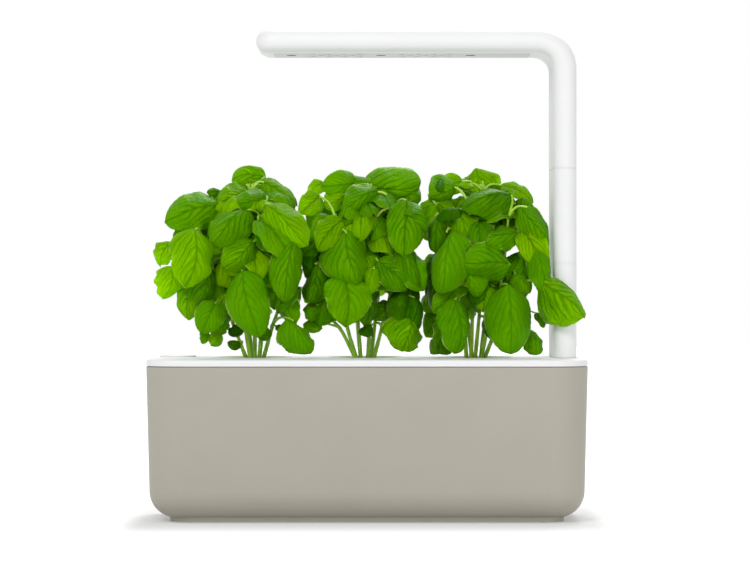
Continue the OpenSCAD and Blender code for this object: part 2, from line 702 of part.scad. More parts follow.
// Length that a leaf of half width hw has room for, from p along the direction d
function leaf_space(i, p, d, hw, lie) = min(
    abs(d[0]) < 0.01 ? 1000 : (side_limit(i, d[0], p[1] + hw * abs(lie[1])) - leaf_room
        - (p[0] - pod_x[i]) * sign(d[0]) - hw * abs(lie[0])) / abs(d[0]),
    d[2] < 0 ? (p[2] - lid_top - leaf_room - hw * abs(lie[2])) / -d[2] : 1000,
    abs(d[1]) < 0.01 ? 1000 : (body_d / 2 - (d[1] > 0 ? back_room : leaf_room) - p[1] * sign(d[1])) / abs(d[1])
);
function heading(turn, pitch) = [cos(turn) * cos(pitch), sin(turn) * cos(pitch), sin(pitch)];
function leaf_base(start, turn) = start + [cos(turn), sin(turn), stalk_rise] * stalk_l;
function facing(i, base, turn) = unit([base[0] - pod_x[i] + look_out * cos(turn), base[1] + look_out * sin(turn), look_up]);
// Length that a leaf has room for, from its place on a stem
function room(i, start, turn, pitch, hw) = let(base = leaf_base(start, turn), axis = heading(turn, pitch))
    leaf_space(i, base, axis, hw, unit(cross(axis, facing(i, base, turn))));

// Half width of a leaf, as a share of its greatest, at a share of its length
function leaf_half(t) = pow(sin(180 * pow(t, 0.85)), 0.7);

// One leaf: a stalk from root to base, and a thin chevron that narrows to its tip, with its face turned to look
module leaf(root, base, axis, length, width, look) {
    side = unit(cross(axis, look));
    out = cross(side, axis);
    n = len(stations);
    ridge = [for (t = stations) base + axis * length * t + out * bow * length * 4 * t * (1 - t)];
    half = [for (t = stations) max(stalk_r, leaf_half(t) * width / 2)];
    points = concat(
        ridge,
        [for (k = [0:n - 1]) ridge[k] - side * half[k] - out * half[k] * 2 * fold],
        [for (k = [0:n - 1]) ridge[k] + side * half[k] - out * half[k] * 2 * fold],
        [for (k = [0:n - 1]) ridge[k] - out * leaf_t],
        [root, base + axis * length]
    );
    b = 4 * n;
    ends = [for (e = [0, 1]) let(k = e * (n - 1), c = b + e) for (f = [[k, n + k], [n + k, 3 * n + k],
        [3 * n + k, 2 * n + k], [2 * n + k, k]]) e == 0 ? [c, f[1], f[0]] : [c, f[0], f[1]]];
    strips = [for (k = [0:n - 2]) for (f = [[k, n + k], [n + k, 3 * n + k], [3 * n + k, 2 * n + k], [2 * n + k, k]])
        for (tri = [[f[0], f[1] + 1, f[0] + 1], [f[0], f[1], f[1] + 1]]) tri];
    polyhedron(points, concat(ends, strips));
}

module leaves(i) {
    color([0.33, 0.6, 0.08]) union() for (s = stems_list[i]) for (k = [0:len(node_share) - 1]) for (m = [0, 1]) {
        start = place(i, along(s, node_share[k]));
        tip = s[len(s) - 1];
        outward = atan2(tip[1], tip[0]);
        first = outward + 90 * k + 180 * m + turn_spread * sin(70 * tip[2]);
        inward = cos(first - outward) < -0.5 ? inward_size : 1;
        share = node_size[k] * inward * (1 - front_share * sin(first));
        size = leaf_l * share;
        width = leaf_w * share;
        pitch = node_pitch[k];
        free = [for (d = swings) if (room(i, start, first + d, pitch, width / 2) > size * room_share) first + d];
        turn = len(free) > 0 ? free[0] : first;
        length = min(size, room(i, start, turn, pitch, width / 2));
        base = leaf_base(start, turn);
        if (length > least_leaf && (k > 0 || inward == 1))
            leaf(start, base, heading(turn, pitch), length, width, facing(i, base, turn));
    }
}

module stems(i) {
    thick = [2.1, 1.9, 1.6, 1.2];
    color([0.45, 0.6, 0.2]) union() {
        translate([pod_x[i], 0, collar_z]) cylinder(r = crown_r, h = collar_h + 0.6, $fn = 24);
        for (s = stems_list[i]) for (k = [0:len(s) - 2]) hull() {
            translate(place(i, s[k])) sphere(r = thick[k], $fn = 6);
            translate(place(i, s[k + 1])) sphere(r = thick[k + 1], $fn = 6);
        }
    }
}

// ---- joints of the lamp's sections ----

// Male end under a section whose joint line is at z: a hollow tenon with a web, and a shoulder in the joint line
module tenon(z) {
    w = arm_w - 2 * lamp_wall - 2 * fit_gap;
    t = arm_t - 2 * lamp_wall - 2 * fit_gap;
    difference() {
        union() {
            post(w, t, z - tenon_l, z + lamp_wall);
            post(arm_w - 1, arm_t - 1, z, z + lamp_wall);
        }
        post(w - 2 * tenon_wall, t - 2 * tenon_wall, z - tenon_l + web_t, z + lamp_wall + 1);
        block(post_x, 0, z - tenon_l - 1, plug_w + 2 * fit_gap, plug_l + 2 * fit_gap, web_t + 2);
    }
}

// Plug in the web of the tenon
module plug(z) {
    flange = plug_w + 0.8;
    color([0.15, 0.15, 0.15]) {
        block(post_x, 0, z - tenon_l - plug_drop, plug_w, plug_l, web_t + plug_drop + eps);
        block(post_x, 0, z - tenon_l + web_t, flange, plug_l + 3, plug_flange);
    }
}

// Contact pins under the plug
module pins(z) {
    color([0.8, 0.7, 0.4]) for (k = [0:contact_n - 1])
        translate([post_x, (k - (contact_n - 1) / 2) * contact_pitch, z - tenon_l - plug_drop - contact_l])
            cylinder(r = contact_r, h = contact_l);
}

// Socket that the plug above the joint line at z meets
module socket(z) {
    top = z - tenon_l - plug_drop - plug_gap;
    color([0.15, 0.15, 0.15]) difference() {
        union() {
            block(post_x, 0, top - plug_flange - socket_h, plug_w, plug_l, socket_h + eps);
            block(post_x, 0, top - plug_flange, plug_w + 3, plug_l + 2, plug_flange);
        }
        for (k = [0:contact_n - 1])
            translate([post_x, (k - (contact_n - 1) / 2) * contact_pitch, top - contact_l - 1])
                cylinder(r = contact_r + fit_gap, h = contact_l + 2);
    }
}

// Wires from z0 up to z1 inside a section
module riser_wires(z0, z1) {
    color([0.7, 0.15, 0.12]) for (k = [0:contact_n - 1])
        translate([post_x, (k - (contact_n - 1) / 2) * contact_pitch, z0]) cylinder(r = wire_r, h = z1 - z0);
}

// ---- extension arms ----

module extension_shell(i) {
    z0 = joint_z[i];
    z1 = joint_z[i + 1];
    web_top = z1 - tenon_l - plug_drop - plug_gap - plug_flange;
    color([0.96, 0.96, 0.96]) union() {
        difference() {
            post(arm_w, arm_t, z0 + seam_h, z1);
            post(arm_w - 2 * lamp_wall, arm_t - 2 * lamp_wall, z0 + lamp_wall, z1 + 1);
            post(arm_w - 2 * (lamp_wall + tenon_wall + fit_gap), arm_t - 2 * (lamp_wall + tenon_wall + fit_gap),
                z0 - 1, z0 + lamp_wall + 1);
        }
        tenon(z0);
        difference() {
            post(arm_w - 2 * lamp_wall, arm_t - 2 * lamp_wall, web_top - shelf_t, web_top);
            block(post_x, 0, web_top - shelf_t - 1, plug_w + 2 * fit_gap, plug_l + 2 * fit_gap, shelf_t + 2);
        }
    }
}

module extension_socket(i) {
    socket(joint_z[i + 1]);
}

module extension_plug(i) {
    plug(joint_z[i]);
}

module extension_pins(i) {
    pins(joint_z[i]);
}

module extension_wires(i) {
    riser_wires(joint_z[i] - tenon_l + web_t + plug_flange,
        joint_z[i + 1] - tenon_l - plug_drop - plug_gap - plug_flange - socket_h);
}

// ---- lamp ----

// Elbow of stadium section about its own axis
module elbow(w, t, start, turn) {
    translate([elbow_x, 0, elbow_z]) rotate([90, 0, 0]) rotate([0, 0, start]) rotate_extrude(angle = turn)
        translate([elbow_mid, 0]) stadium(w, t);
}

module lamp_shell() {
    z0 = joint_z[2];
    wi = arm_w - 2 * lamp_wall;
    ti = arm_t - 2 * lamp_wall;
    mid = lamp_top - arm_t / 2;
    open_x = cover_x + cover_l / 2;
    color([0.97, 0.97, 0.97]) union() {
        difference() {
            union() {
                translate([0, 0, mid]) arm_bar(arm_x, elbow_x, arm_w, arm_t, end_r);
                elbow(arm_w, arm_t, 0, 90);
                post(arm_w, arm_t, z0 + seam_h, elbow_z);
            }
            translate([0, 0, mid]) arm_bar(arm_x + lamp_wall, elbow_x, wi, ti, end_r - lamp_wall);
            elbow(wi, ti, 0, 90);
            post(wi, ti, z0 + lamp_wall, elbow_z);
            post(wi - 2 * (tenon_wall + fit_gap), ti - 2 * (tenon_wall + fit_gap), z0 - 1, z0 + lamp_wall + 1);
            translate([open_x, 0, arm_under - 1]) slab(cover_l, cover_w, 4, rebate + 1);
            translate([open_x, 0, arm_under]) slab(cover_l - 2 * ledge, cover_w - 2 * ledge, 2, lamp_wall + 1);
        }
        tenon(z0);
        for (x = screw_x) difference() {
            translate([x, 0, tray_top]) cylinder(r = cover_boss_r, h = lamp_top - lamp_wall - tray_top + eps);
            translate([x, 0, tray_top - 1]) cylinder(r = screw_r + jack_gap, h = screw_l + 1);
        }
    }
}

// Cover of the lights: a plate in the rebate and a tray that reaches through the opening
module light_cover() {
    x = cover_x + cover_l / 2;
    color([0.85, 0.85, 0.85]) difference() {
        union() {
            translate([x, 0, arm_under]) slab(cover_l - 2 * fit_gap, cover_w - 2 * fit_gap, 4 - fit_gap, rebate);
            translate([x, 0, arm_under + rebate - eps])
                slab(cover_l - 2 * ledge - 2 * fit_gap, cover_w - 2 * ledge - 2 * fit_gap, 2, tray_t + eps);
            for (s = [-1, 1]) block(x, s * (cover_w / 2 - ledge - 2), tray_top - eps, cover_l - 12, 2,
                board_z - tray_top + eps);
        }
        for (p = led_places) translate([p[0], p[1], arm_under - 1]) cylinder(r = led_hole_r, h = rebate + tray_t + 2);
        for (sx = screw_x) translate([sx, 0, arm_under - 1]) {
            cylinder(r = recess_r, h = recess_h + 1);
            cylinder(r = screw_r + fit_gap, h = rebate + tray_t + 2);
        }
    }
}

// A plate over the light cover's tray, with clearance holes for the screw bosses
module board_plate(z, t) {
    difference() {
        block(cover_x + cover_l / 2, 0, z, cover_l - 8, cover_w - 2 * ledge - 2, t);
        for (x = screw_x) translate([x, 0, z - 1]) cylinder(r = cover_boss_r + run_gap, h = t + 2);
    }
}

module led_board() {
    color([0.9, 0.9, 0.85]) board_plate(board_z, lamp_board_t);
}

module heat_spreader() {
    color([0.75, 0.76, 0.78]) board_plate(board_z + lamp_board_t, spreader_t);
}

module board_connector() {
    color([0.92, 0.9, 0.8]) block(cover_x + cover_l - 12, 0, board_z + lamp_board_t + spreader_t, 10, 12, 3.3);
}

module led(p) {
    block(p[0], p[1], board_z - led_t, led_w, led_w, led_t);
}

module white_leds() {
    color([0.95, 0.85, 0.5]) for (k = [0:len(led_places) - 1]) if (k % 4 != 1) led(led_places[k]);
}

module red_leds() {
    color([0.8, 0.2, 0.15]) for (k = [0:len(led_places) - 1]) if (k % 4 == 1) led(led_places[k]);
}

module cover_screws() {
    color([0.15, 0.15, 0.16]) for (x = screw_x) translate([x, 0, arm_under + recess_h])
        screw(screw_r, screw_l, cover_head_r, 1.3);
}

module lamp_plug() {
    plug(joint_z[2]);
}

module lamp_pins() {
    pins(joint_z[2]);
}

// Flat lead from the lamp's plug up the post, round the elbow and along the arm to the board
module lamp_wires() {
    w = 10;
    t = 1;
    z0 = joint_z[2] - tenon_l + web_t + plug_flange;
    x0 = cover_x + cover_l - 7;
    color([0.7, 0.7, 0.72]) union() {
        block(post_x, 0, z0, t, w, elbow_z - z0);
        translate([elbow_x, 0, elbow_z]) rotate([90, 0, 0]) rotate_extrude(angle = 90)
            translate([elbow_mid - t / 2, -w / 2]) square([t, w]);
        translate([x0, -w / 2, elbow_z + elbow_mid - t / 2]) cube([elbow_x - x0, w, t]);
    }
}

tank();
foot_pads();
lid();
lamp_dock();
lid_screws();
control_board();
power_jack();
jack_pin();
dock_socket();
dock_wires();
float_cage();
float_cap();
float_bulb();
for (i = [0:2]) {
    plant_cup(i);
    wick(i);
    soil(i);
    collar(i);
    stems(i);
    leaves(i);
}
for (i = [0:1]) {
    extension_shell(i);
    extension_socket(i);
    extension_plug(i);
    extension_pins(i);
    extension_wires(i);
}
lamp_shell();
light_cover();
led_board();
heat_spreader();
board_connector();
white_leds();
red_leds();
cover_screws();
lamp_plug();
lamp_pins();
lamp_wires();
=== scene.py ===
"""Looks of a countertop hydroponic garden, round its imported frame: basil plants, water tank and grow lamp."""

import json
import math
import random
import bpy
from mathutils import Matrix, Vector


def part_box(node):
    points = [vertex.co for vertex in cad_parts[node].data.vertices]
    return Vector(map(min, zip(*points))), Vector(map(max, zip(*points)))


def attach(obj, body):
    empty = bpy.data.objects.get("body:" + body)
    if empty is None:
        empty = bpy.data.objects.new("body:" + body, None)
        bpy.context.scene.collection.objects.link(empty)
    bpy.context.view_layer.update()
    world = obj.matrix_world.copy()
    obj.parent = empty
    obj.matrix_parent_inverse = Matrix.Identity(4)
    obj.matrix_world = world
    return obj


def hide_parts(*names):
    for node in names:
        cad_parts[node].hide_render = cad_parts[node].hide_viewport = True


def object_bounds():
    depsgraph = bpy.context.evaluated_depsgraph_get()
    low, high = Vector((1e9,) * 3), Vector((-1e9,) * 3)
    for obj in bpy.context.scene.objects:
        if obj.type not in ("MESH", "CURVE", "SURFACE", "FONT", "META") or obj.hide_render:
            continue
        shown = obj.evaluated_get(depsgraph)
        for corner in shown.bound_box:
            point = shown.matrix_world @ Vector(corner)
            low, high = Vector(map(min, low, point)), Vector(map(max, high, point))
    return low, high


bl_info = {
    "name": "Hydroponic garden",
    "version": (1, 0, 0),
    "blender": (4, 5, 0),
    "location": "3D View > Sidebar > Garden",
    "description": "Plants, finishes and stage of a countertop hydroponic garden",
    "category": "Object",
}

import bpy
import numpy as np
from bpy.props import FloatProperty, FloatVectorProperty, IntProperty, PointerProperty
from bpy.types import Operator, Panel, PropertyGroup
from mathutils import Matrix, Vector

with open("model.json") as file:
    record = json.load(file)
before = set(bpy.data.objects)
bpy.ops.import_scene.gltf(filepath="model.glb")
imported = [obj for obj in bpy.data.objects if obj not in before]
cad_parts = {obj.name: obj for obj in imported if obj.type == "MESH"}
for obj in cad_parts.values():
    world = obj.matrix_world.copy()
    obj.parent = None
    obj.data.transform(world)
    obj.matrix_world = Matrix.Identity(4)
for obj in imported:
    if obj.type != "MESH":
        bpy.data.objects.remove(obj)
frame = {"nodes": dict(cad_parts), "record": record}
CAD_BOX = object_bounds()

# ---- sizes taken from the frame, in metres ----

LID_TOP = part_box("lid")[1].z
POD_X = [(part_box(f"collar_{n}")[0].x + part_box(f"collar_{n}")[1].x) / 2 for n in (1, 2, 3)]
POST_LEFT, POST_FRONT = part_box("extension_shell_1")[0].xy

# ---- the eye that the front view is drawn from ----

EYE = Vector((0.0054, -2.3, 0.163))
LENS = 160.0
SENSOR = 36.0
VIEW_WIDTH = 750
VIEW_MIDDLE = (375.0, 281.5)
VIEW_SCALE = VIEW_WIDTH * LENS / SENSOR


def in_view(across, down, depth):
    """The point at a place of the front view and a depth in millimetres behind the object's middle."""
    far = depth / 1000 - EYE.y
    x = (across - VIEW_MIDDLE[0]) * far / VIEW_SCALE + EYE.x
    z = (VIEW_MIDDLE[1] - down) * far / VIEW_SCALE + EYE.z
    return Vector((x, depth / 1000, z))


# ---- plants ----

# Leaves that show at the front: where the blade starts and where its tip is (across, down and depth in the
# front view), its width, the way its face looks (0 front, 90 up), and its green, from 0, deep, to 9, bright
# Those greens are partly each leaf's own colour and partly painted: deep for painted shade among the leaves,
# bright for painted light where it comes through from behind
FRONT_LEAVES = ((
    (224, 208, -8, 169, 221, -16, 36, 40, 5), (195, 229, -32, 188, 284, -40, 38, 8, 7),
    (248, 209, -28, 216, 241, -40, 35, 18, 5), (264, 182, -4, 297, 203, -10, 34, 25, 6),
    (266, 177, 6, 234, 179, 2, 26, 30, 6), (262, 186, 0, 240, 196, -6, 18, 40, 6),
    (250, 192, -8, 221, 202, -16, 24, 45, 6), (222, 192, 0, 208, 192, -4, 10, 40, 3),
    (268, 196, -18, 234, 206, -26, 18, 45, 3), (271, 205, -38, 307, 243, -48, 29, 10, 7),
    (257, 218, -32, 291, 258, -42, 30, 10, 5), (254, 240, -28, 284, 267, -34, 22, 0, 1),
    (254, 241, -36, 227, 266, -44, 30, 5, 6), (175, 243, -12, 159, 262, -18, 24, 10, 7),
    (171, 266, -20, 165, 297, -24, 22, 5, 7), (207, 262, -22, 201, 302, -28, 32, 5, 2),
    (216, 302, -28, 202, 331, -33, 26, 10, 4), (197, 284, -16, 188, 317, -20, 20, 5, 6),
    (243, 271, -44, 259, 331, -53, 38, 8, 4), (299, 240, -43, 291, 298, -49, 30, 0, 5),
    (310, 288, -28, 284, 309, -36, 20, 5, 2), (292, 319, -45, 315, 350, -53, 24, 5, 4),
    (203, 330, -22, 202, 343, -24, 9, 0, 4), (220, 331, -24, 213, 345, -28, 13, 5, 6),
    (226, 311, -20, 222, 334, -24, 14, 0, 4), (245, 329, -16, 230, 334, -20, 11, 20, 0),
    (242, 347, -14, 229, 343, -18, 9, 20, 1), (256, 334, -14, 270, 336, -18, 12, 20, 3),
    (275, 326, -12, 285, 328, -16, 7, 20, 3), (232, 228, -14, 212, 252, -20, 20, 0, 9),
    (262, 262, -18, 280, 276, -22, 14, 0, 8), (232, 244, -4, 214, 282, -12, 32, 15, 4),
    (258, 250, 0, 262, 302, -8, 34, 10, 2), (284, 216, 4, 293, 262, -4, 32, 15, 4),
    (222, 262, -10, 222, 300, -16, 24, 10, 5), (205, 214, -4, 180, 244, -10, 30, 20, 3),
    (188, 250, -6, 178, 280, -12, 24, 10, 8), (276, 268, -18, 276, 306, -24, 24, 5, 3),
    (226, 284, -12, 236, 312, -18, 18, 5, 3), (282, 296, -30, 296, 322, -40, 20, 5, 4),
), (
    (326, 184, 2, 309, 192, -2, 14, 40, 7), (357, 184, 0, 325, 185, -6, 28, 30, 5),
    (321, 196, -8, 300, 212, -14, 20, 15, 7), (350, 192, -6, 328, 206, -12, 18, 20, 9),
    (361, 187, 0, 417, 184, -6, 38, 20, 5), (379, 191, -18, 347, 210, -26, 28, 30, 4),
    (344, 219, -26, 319, 247, -34, 24, 15, 6), (332, 217, -12, 312, 238, -20, 22, 15, 6),
    (346, 231, -36, 357, 279, -46, 46, 5, 5), (366, 215, -22, 345, 226, -30, 18, 35, 1),
    (338, 275, -36, 342, 322, -44, 42, 5, 5), (374, 267, -34, 369, 292, -38, 16, 5, 6),
    (407, 200, -26, 404, 252, -38, 34, 15, 5), (378, 214, -20, 370, 238, -26, 18, 20, 5),
    (384, 207, -10, 366, 218, -14, 12, 10, 9), (377, 260, -30, 405, 286, -38, 26, 15, 3),
    (384, 251, -20, 410, 257, -26, 12, 20, 9), (402, 289, -26, 399, 322, -34, 27, 0, 0),
    (411, 315, -32, 404, 348, -40, 33, 5, 6), (318, 244, -16, 311, 276, -22, 22, 0, 1),
    (334, 268, -24, 317, 289, -28, 12, 5, 4), (318, 304, -26, 304, 318, -30, 16, 5, 4),
    (303, 324, -18, 320, 329, -22, 12, 10, 5), (424, 262, -18, 409, 279, -24, 18, 5, 2),
    (372, 325, -20, 360, 331, -26, 14, 20, 1), (390, 302, -16, 374, 318, -22, 16, 5, 2),
    (362, 313, -24, 344, 319, -30, 10, 10, 1), (396, 194, -2, 419, 198, -8, 28, 30, 3),
    (322, 232, -16, 303, 262, -20, 26, 10, 3), (316, 262, -28, 308, 300, -34, 28, 5, 2),
    (330, 290, -20, 318, 322, -26, 24, 5, 3), (362, 282, -20, 368, 322, -28, 28, 5, 2),
    (386, 232, -14, 388, 268, -20, 28, 10, 2), (404, 246, -30, 420, 284, -36, 24, 5, 2),
    (402, 268, -14, 412, 306, -20, 26, 5, 1), (340, 198, 4, 332, 230, -4, 28, 20, 6),
    (386, 190, 6, 394, 222, -2, 30, 20, 4), (414, 296, -30, 417, 330, -36, 18, 5, 1),
    (324, 240, 6, 301, 268, 2, 28, 15, 6), (326, 268, 8, 302, 300, 4, 26, 10, 7),
    (398, 208, -28, 428, 232, -33, 26, 10, 3), (404, 258, -28, 426, 288, -33, 26, 10, 5),
), (
    (477, 168, -4, 480, 192, -10, 36, 15, 7), (455, 186, -16, 431, 196, -22, 26, 20, 5),
    (463, 181, 0, 439, 189, -6, 18, 35, 7), (513, 195, -22, 467, 206, -34, 29, 30, 3),
    (500, 185, -4, 531, 200, -10, 18, 40, 7), (426, 194, -16, 442, 192, -22, 24, 35, 1),
    (436, 202, -18, 450, 214, -24, 16, 20, 6), (447, 230, -36, 437, 288, -48, 35, 8, 5),
    (454, 208, -20, 470, 254, -30, 26, 5, 6), (462, 209, -28, 438, 217, -34, 15, 30, 0),
    (519, 231, -24, 475, 246, -34, 25, 25, 5), (514, 214, -16, 479, 223, -22, 14, 25, 5),
    (511, 264, -34, 467, 264, -46, 36, 15, 4), (526, 206, -24, 555, 242, -30, 26, 20, 4),
    (523, 230, -22, 548, 268, -32, 26, 5, 9), (543, 248, -32, 552, 293, -38, 24, 5, 3),
    (546, 281, -42, 589, 312, -50, 42, 5, 6), (508, 284, -42, 511, 349, -54, 42, 8, 4),
    (455, 298, -42, 458, 350, -51, 31, 8, 3), (533, 330, -28, 536, 357, -34, 17, 5, 4),
    (450, 288, -28, 430, 311, -34, 20, 5, 5), (434, 336, -20, 431, 357, -24, 14, 5, 3),
    (441, 336, -26, 447, 357, -30, 15, 5, 2), (461, 262, -32, 474, 295, -38, 26, 5, 5),
    (487, 286, -30, 483, 310, -34, 22, 5, 6), (514, 203, -12, 535, 212, -18, 14, 25, 3),
    (536, 312, -20, 544, 326, -24, 8, 5, 2), (557, 271, -20, 567, 275, -22, 4, 20, 1),
    (485, 318, -20, 498, 340, -26, 17, 5, 1), (514, 272, -26, 530, 290, -30, 16, 5, 5),
    (436, 214, -16, 430, 250, -22, 24, 15, 3), (432, 270, -18, 432, 312, -24, 24, 5, 1),
    (466, 232, -8, 470, 272, -16, 28, 10, 4), (494, 226, -6, 500, 262, -14, 30, 10, 6),
    (476, 268, -12, 470, 306, -20, 28, 5, 3), (524, 250, -14, 528, 292, -22, 28, 5, 4),
    (500, 292, -20, 494, 330, -28, 22, 5, 2), (520, 208, -2, 528, 240, -10, 28, 15, 5),
    (446, 318, -22, 440, 350, -28, 20, 5, 2), (486, 196, 4, 500, 222, -4, 30, 20, 5),
    (448, 196, 18, 418, 212, 12, 26, 25, 7), (450, 214, 16, 417, 234, 10, 28, 20, 9),
    (448, 256, 14, 418, 280, 8, 28, 20, 8), (446, 284, 12, 419, 306, 6, 26, 15, 5),
    (446, 306, 10, 424, 334, 4, 24, 10, 3),
))

# Places in the front view that stay open between the leaves: left, top, right, bottom
SEE_THROUGH = (
    (172, 272, 181, 300), (190, 306, 198, 318), (238, 316, 246, 325), (268, 292, 280, 302),
    (280, 318, 290, 330), (313, 197, 325, 216), (321, 320, 328, 330), (413, 243, 428, 256),
    (382, 296, 387, 311), (419, 309, 425, 321), (443, 190, 470, 199), (518, 203, 523, 210),
    (476, 228, 482, 232), (500, 244, 514, 249), (533, 299, 546, 312), (225, 345, 240, 357),
    (290, 330, 350, 357), (380, 330, 402, 357), (490, 338, 530, 357),
)

# Stems, in millimetres from the middle of the cup's collar on the lid's top: across, back and up
STEMS = ((
    ((-6, 0, -1), (-13, -6, 18), (-28, -13, 60), (-38, -20, 88)),
    ((-3, -3, -1), (-8, -8, 30), (-13, -14, 62), (-16, -22, 100)),
    ((0, 0, -1), (0, -5, 40), (0, -8, 80), (-2, -6, 114)),
    ((3, -2, -1), (6, -8, 32), (8, -16, 66), (6, -24, 100)),
    ((6, 0, -1), (12, -7, 20), (18, -14, 40), (22, -20, 80)),
    ((-2, 5, -1), (-8, 12, 45), (-20, 18, 98)),
    ((3, 5, -1), (8, 12, 50), (14, 18, 104)),
), (
    ((-6.5, 0, -1), (-16, -7, 18), (-26, -14, 34), (-28, -18, 78)),
    ((-6, -3, -1), (-12, -9, 20), (-17, -16, 46), (-20, -20, 94)),
    ((-3, -1, -1), (-5, -8, 30), (-6, -12, 66), (-6, -8, 112)),
    ((2, -2, -1), (4, -8, 30), (8, -16, 60), (8, -22, 96)),
    ((6, 0, -1), (12, -7, 22), (18, -14, 50), (20, -16, 102)),
    ((-3, 5, -1), (-8, 12, 50), (-14, 20, 102)),
    ((4, 5, -1), (10, 12, 50), (16, 18, 106)),
), (
    ((-6, 0, -1), (-8, -8, 26), (-12, -16, 50), (-18, -20, 94)),
    ((-3, -3, -1), (-2, -8, 34), (-2, -14, 66), (-4, -22, 100)),
    ((0, 0, -1), (3, -8, 34), (5, -12, 66), (6, -8, 114)),
    ((4, -2, -1), (10, -9, 28), (18, -16, 54), (22, -20, 96)),
    ((6.5, 0, -1), (16, -6, 24), (26, -12, 52), (32, -18, 82)),
    ((-2, 5, -1), (-8, 12, 50), (-14, 20, 100)),
    ((4, 5, -1), (10, 12, 50), (18, 16, 104)),
))
STEM_RADIUS, STEM_TAPER = 0.0015, 0.0007
KNOB, KNOB_PITCH = 0.0001, 20  # swellings along a stem, and how closely they follow each other
STALK_RADII = (0.0007, 0.00095)  # of a small leaf's stalk, and of the others'
SMALL_LEAF = 0.011  # width under which a leaf has a thin stalk

# Leaves behind the front ones, in tiers: height over the lid, reach of their tips from the cup's middle, how
# far they fall, length, how many, first and last turn (0 right, 90 back), and greens
# The greens of a tier are partly the leaves' own colour and partly painted: bright as painted light for leaves
# lit from behind, deep as painted shade for those among the others
TIERS = (
    (40, 26, 10, 24, 6, 10, 170, (4, 6, 8)),
    (58, 38, 22, 32, 8, -20, 200, (5, 7, 8, 9)),
    (78, 46, 22, 36, 9, -24, 204, (5, 8, 9, 9)),
    (98, 46, 16, 36, 9, -20, 200, (5, 8, 9, 9)),
    (112, 36, 4, 30, 8, -10, 190, (5, 7, 9)),
    (119, 20, -3, 26, 6, 0, 180, (5, 7, 8)),
    (66, 24, 16, 24, 7, 150, 390, (1, 3, 6, 9)),
    (88, 26, 14, 26, 8, 150, 390, (1, 3, 6, 9)),
    (106, 24, 8, 26, 7, 170, 370, (2, 4, 7)),
    (52, 36, 20, 28, 7, 172, 368, (1, 3, 5, 8)),
    (74, 40, 22, 32, 9, 166, 374, (2, 4, 6, 9)),
    (94, 39, 18, 32, 9, 170, 370, (2, 4, 7, 9)),
    (110, 34, 10, 28, 7, 160, 380, (3, 5, 8)),
)

# Half width of a leaf at shares of its length
OUTLINE = (
    (0, 0.06), (0.02, 0.28), (0.06, 0.5), (0.13, 0.74), (0.23, 0.92), (0.36, 1), (0.5, 0.99), (0.64, 0.91),
    (0.77, 0.75), (0.88, 0.53), (0.95, 0.31), (1, 0.03),
)
LEAF_MAP, LEAF_MARKS = "blade", ("shade", "crease")  # names of a leaf's own places and values
VEIN_PAIRS = 5
VEIN_SWEEP, VEIN_CURVE = 0.8, 1.25  # how far a vein runs towards the tip, and how it bends
VEIN_STAGGER = 0.12  # how far the veins of one side lie ahead of the other's
RIB_DEPTH, RIB_WIDTH = 0.0009, 0.0013  # groove over the rib, in a leaf of RIB_LEAF's width or more
RIB_LEAF = 0.016
TEETH, TOOTH = 11, 0.015  # teeth along an edge, and their depth as a share of the half width

# Grids that the leaves are bent from, along and across: wide front leaves, middling ones and the rest
GRIDS = ((36, 16), (22, 10), (14, 8))
WIDE_LEAF, MIDDLING_LEAF = 0.019, 0.0105

# How much longer and wider a leaf of the front view is made than it shows, for what its bends take away
LONGER, WIDER = 0.07, 0.2

# Lines between the plants in plan (depth, across) that no leaf passes, so that each cup lifts straight out
BORDERS = (
    ((-0.041, -0.031), (-0.037, -0.044), (-0.026, -0.044), (-0.022, -0.0495), (0.060, -0.04)),
    ((-0.042, 0.039), (-0.039, 0.0425), (-0.026, 0.0425), (-0.014, 0.04), (0.002, 0.038),
     (0.020, 0.0335), (0.060, 0.031)),
)
BORDER_GAP = 0.0006
LID_GAP, TOP_ROOM = 0.0015, 0.1325  # heights over the lid that the leaves stay between
DEPTH_ROOM = 0.06  # how far the leaves reach to the front and to the back
LEFT_ROOM = 0.006  # how far past the tank's left side they may reach
POST_GAP = 0.002  # how far they stop from the post's left side
POST_COVER, POST_EASE = 0.0265, 0.003  # how far they pass that line before the post, eased over this depth
FACE_GAP = 0.0015  # how far they stay from the post's front there

# ---- growing mix and wicks ----

CUP_FOOT = 0.0215  # the mix narrows by what the cup's flange reaches past this radius
MIX_PLAY = 0.0012  # and by this much more
MOUND_RADIUS, MOUND_HEIGHT = 0.0082, 0.0018
CRUMB_TOP, CRUMB_SIDE = 0.0005, 0.0009  # unevenness of the mix on its mound and on its sides
SKIN = 0.0001  # how near to a flat end a point still belongs to it
WICK_EDGE = 0.0007

# ---- screw wells and stage ----

# The black of a screw well is painted shade on the well's walls
WELL_RIM = 0.0004  # how far the black of a screw well reaches past its screw's head
FLOOR_SIZE, FLOOR_DROP = 12, 0.00005
FLOOR_GREY = 0.78  # how light the floor is to the light that falls on it
FLOOR_GLOW = 1.35  # strength of its plain white, where nothing shades it
FLOOR_SHADE = 0.7  # how light the floor's own shading is, next to its glow
SHADED_REACH = (0.0, 0.15)  # distances from the tank over which that shading fades into plain white
SIDEWAYS = 4.5  # how much more a distance to the side counts in that than one to the front
LIGHTS = {  # size and place of each light
    "key": (0.8, (-0.9, -2.1, 1.8)),
    "fill": (1.4, (0.9, -2.3, 0.15)),
    "rear": (1.2, (0.3, 1.5, 1.9)),
}
AIM = Vector((0, 0, 0.17))


def tint(red, green, blue):
    """A colour given as it looks on screen, from 0 to 255, as the linear value that a shader takes."""
    shares = (value / 255 for value in (red, green, blue))
    return tuple(c / 12.92 if c <= 0.04045 else ((c + 0.055) / 1.055) ** 2.4 for c in shares) + (1.0,)


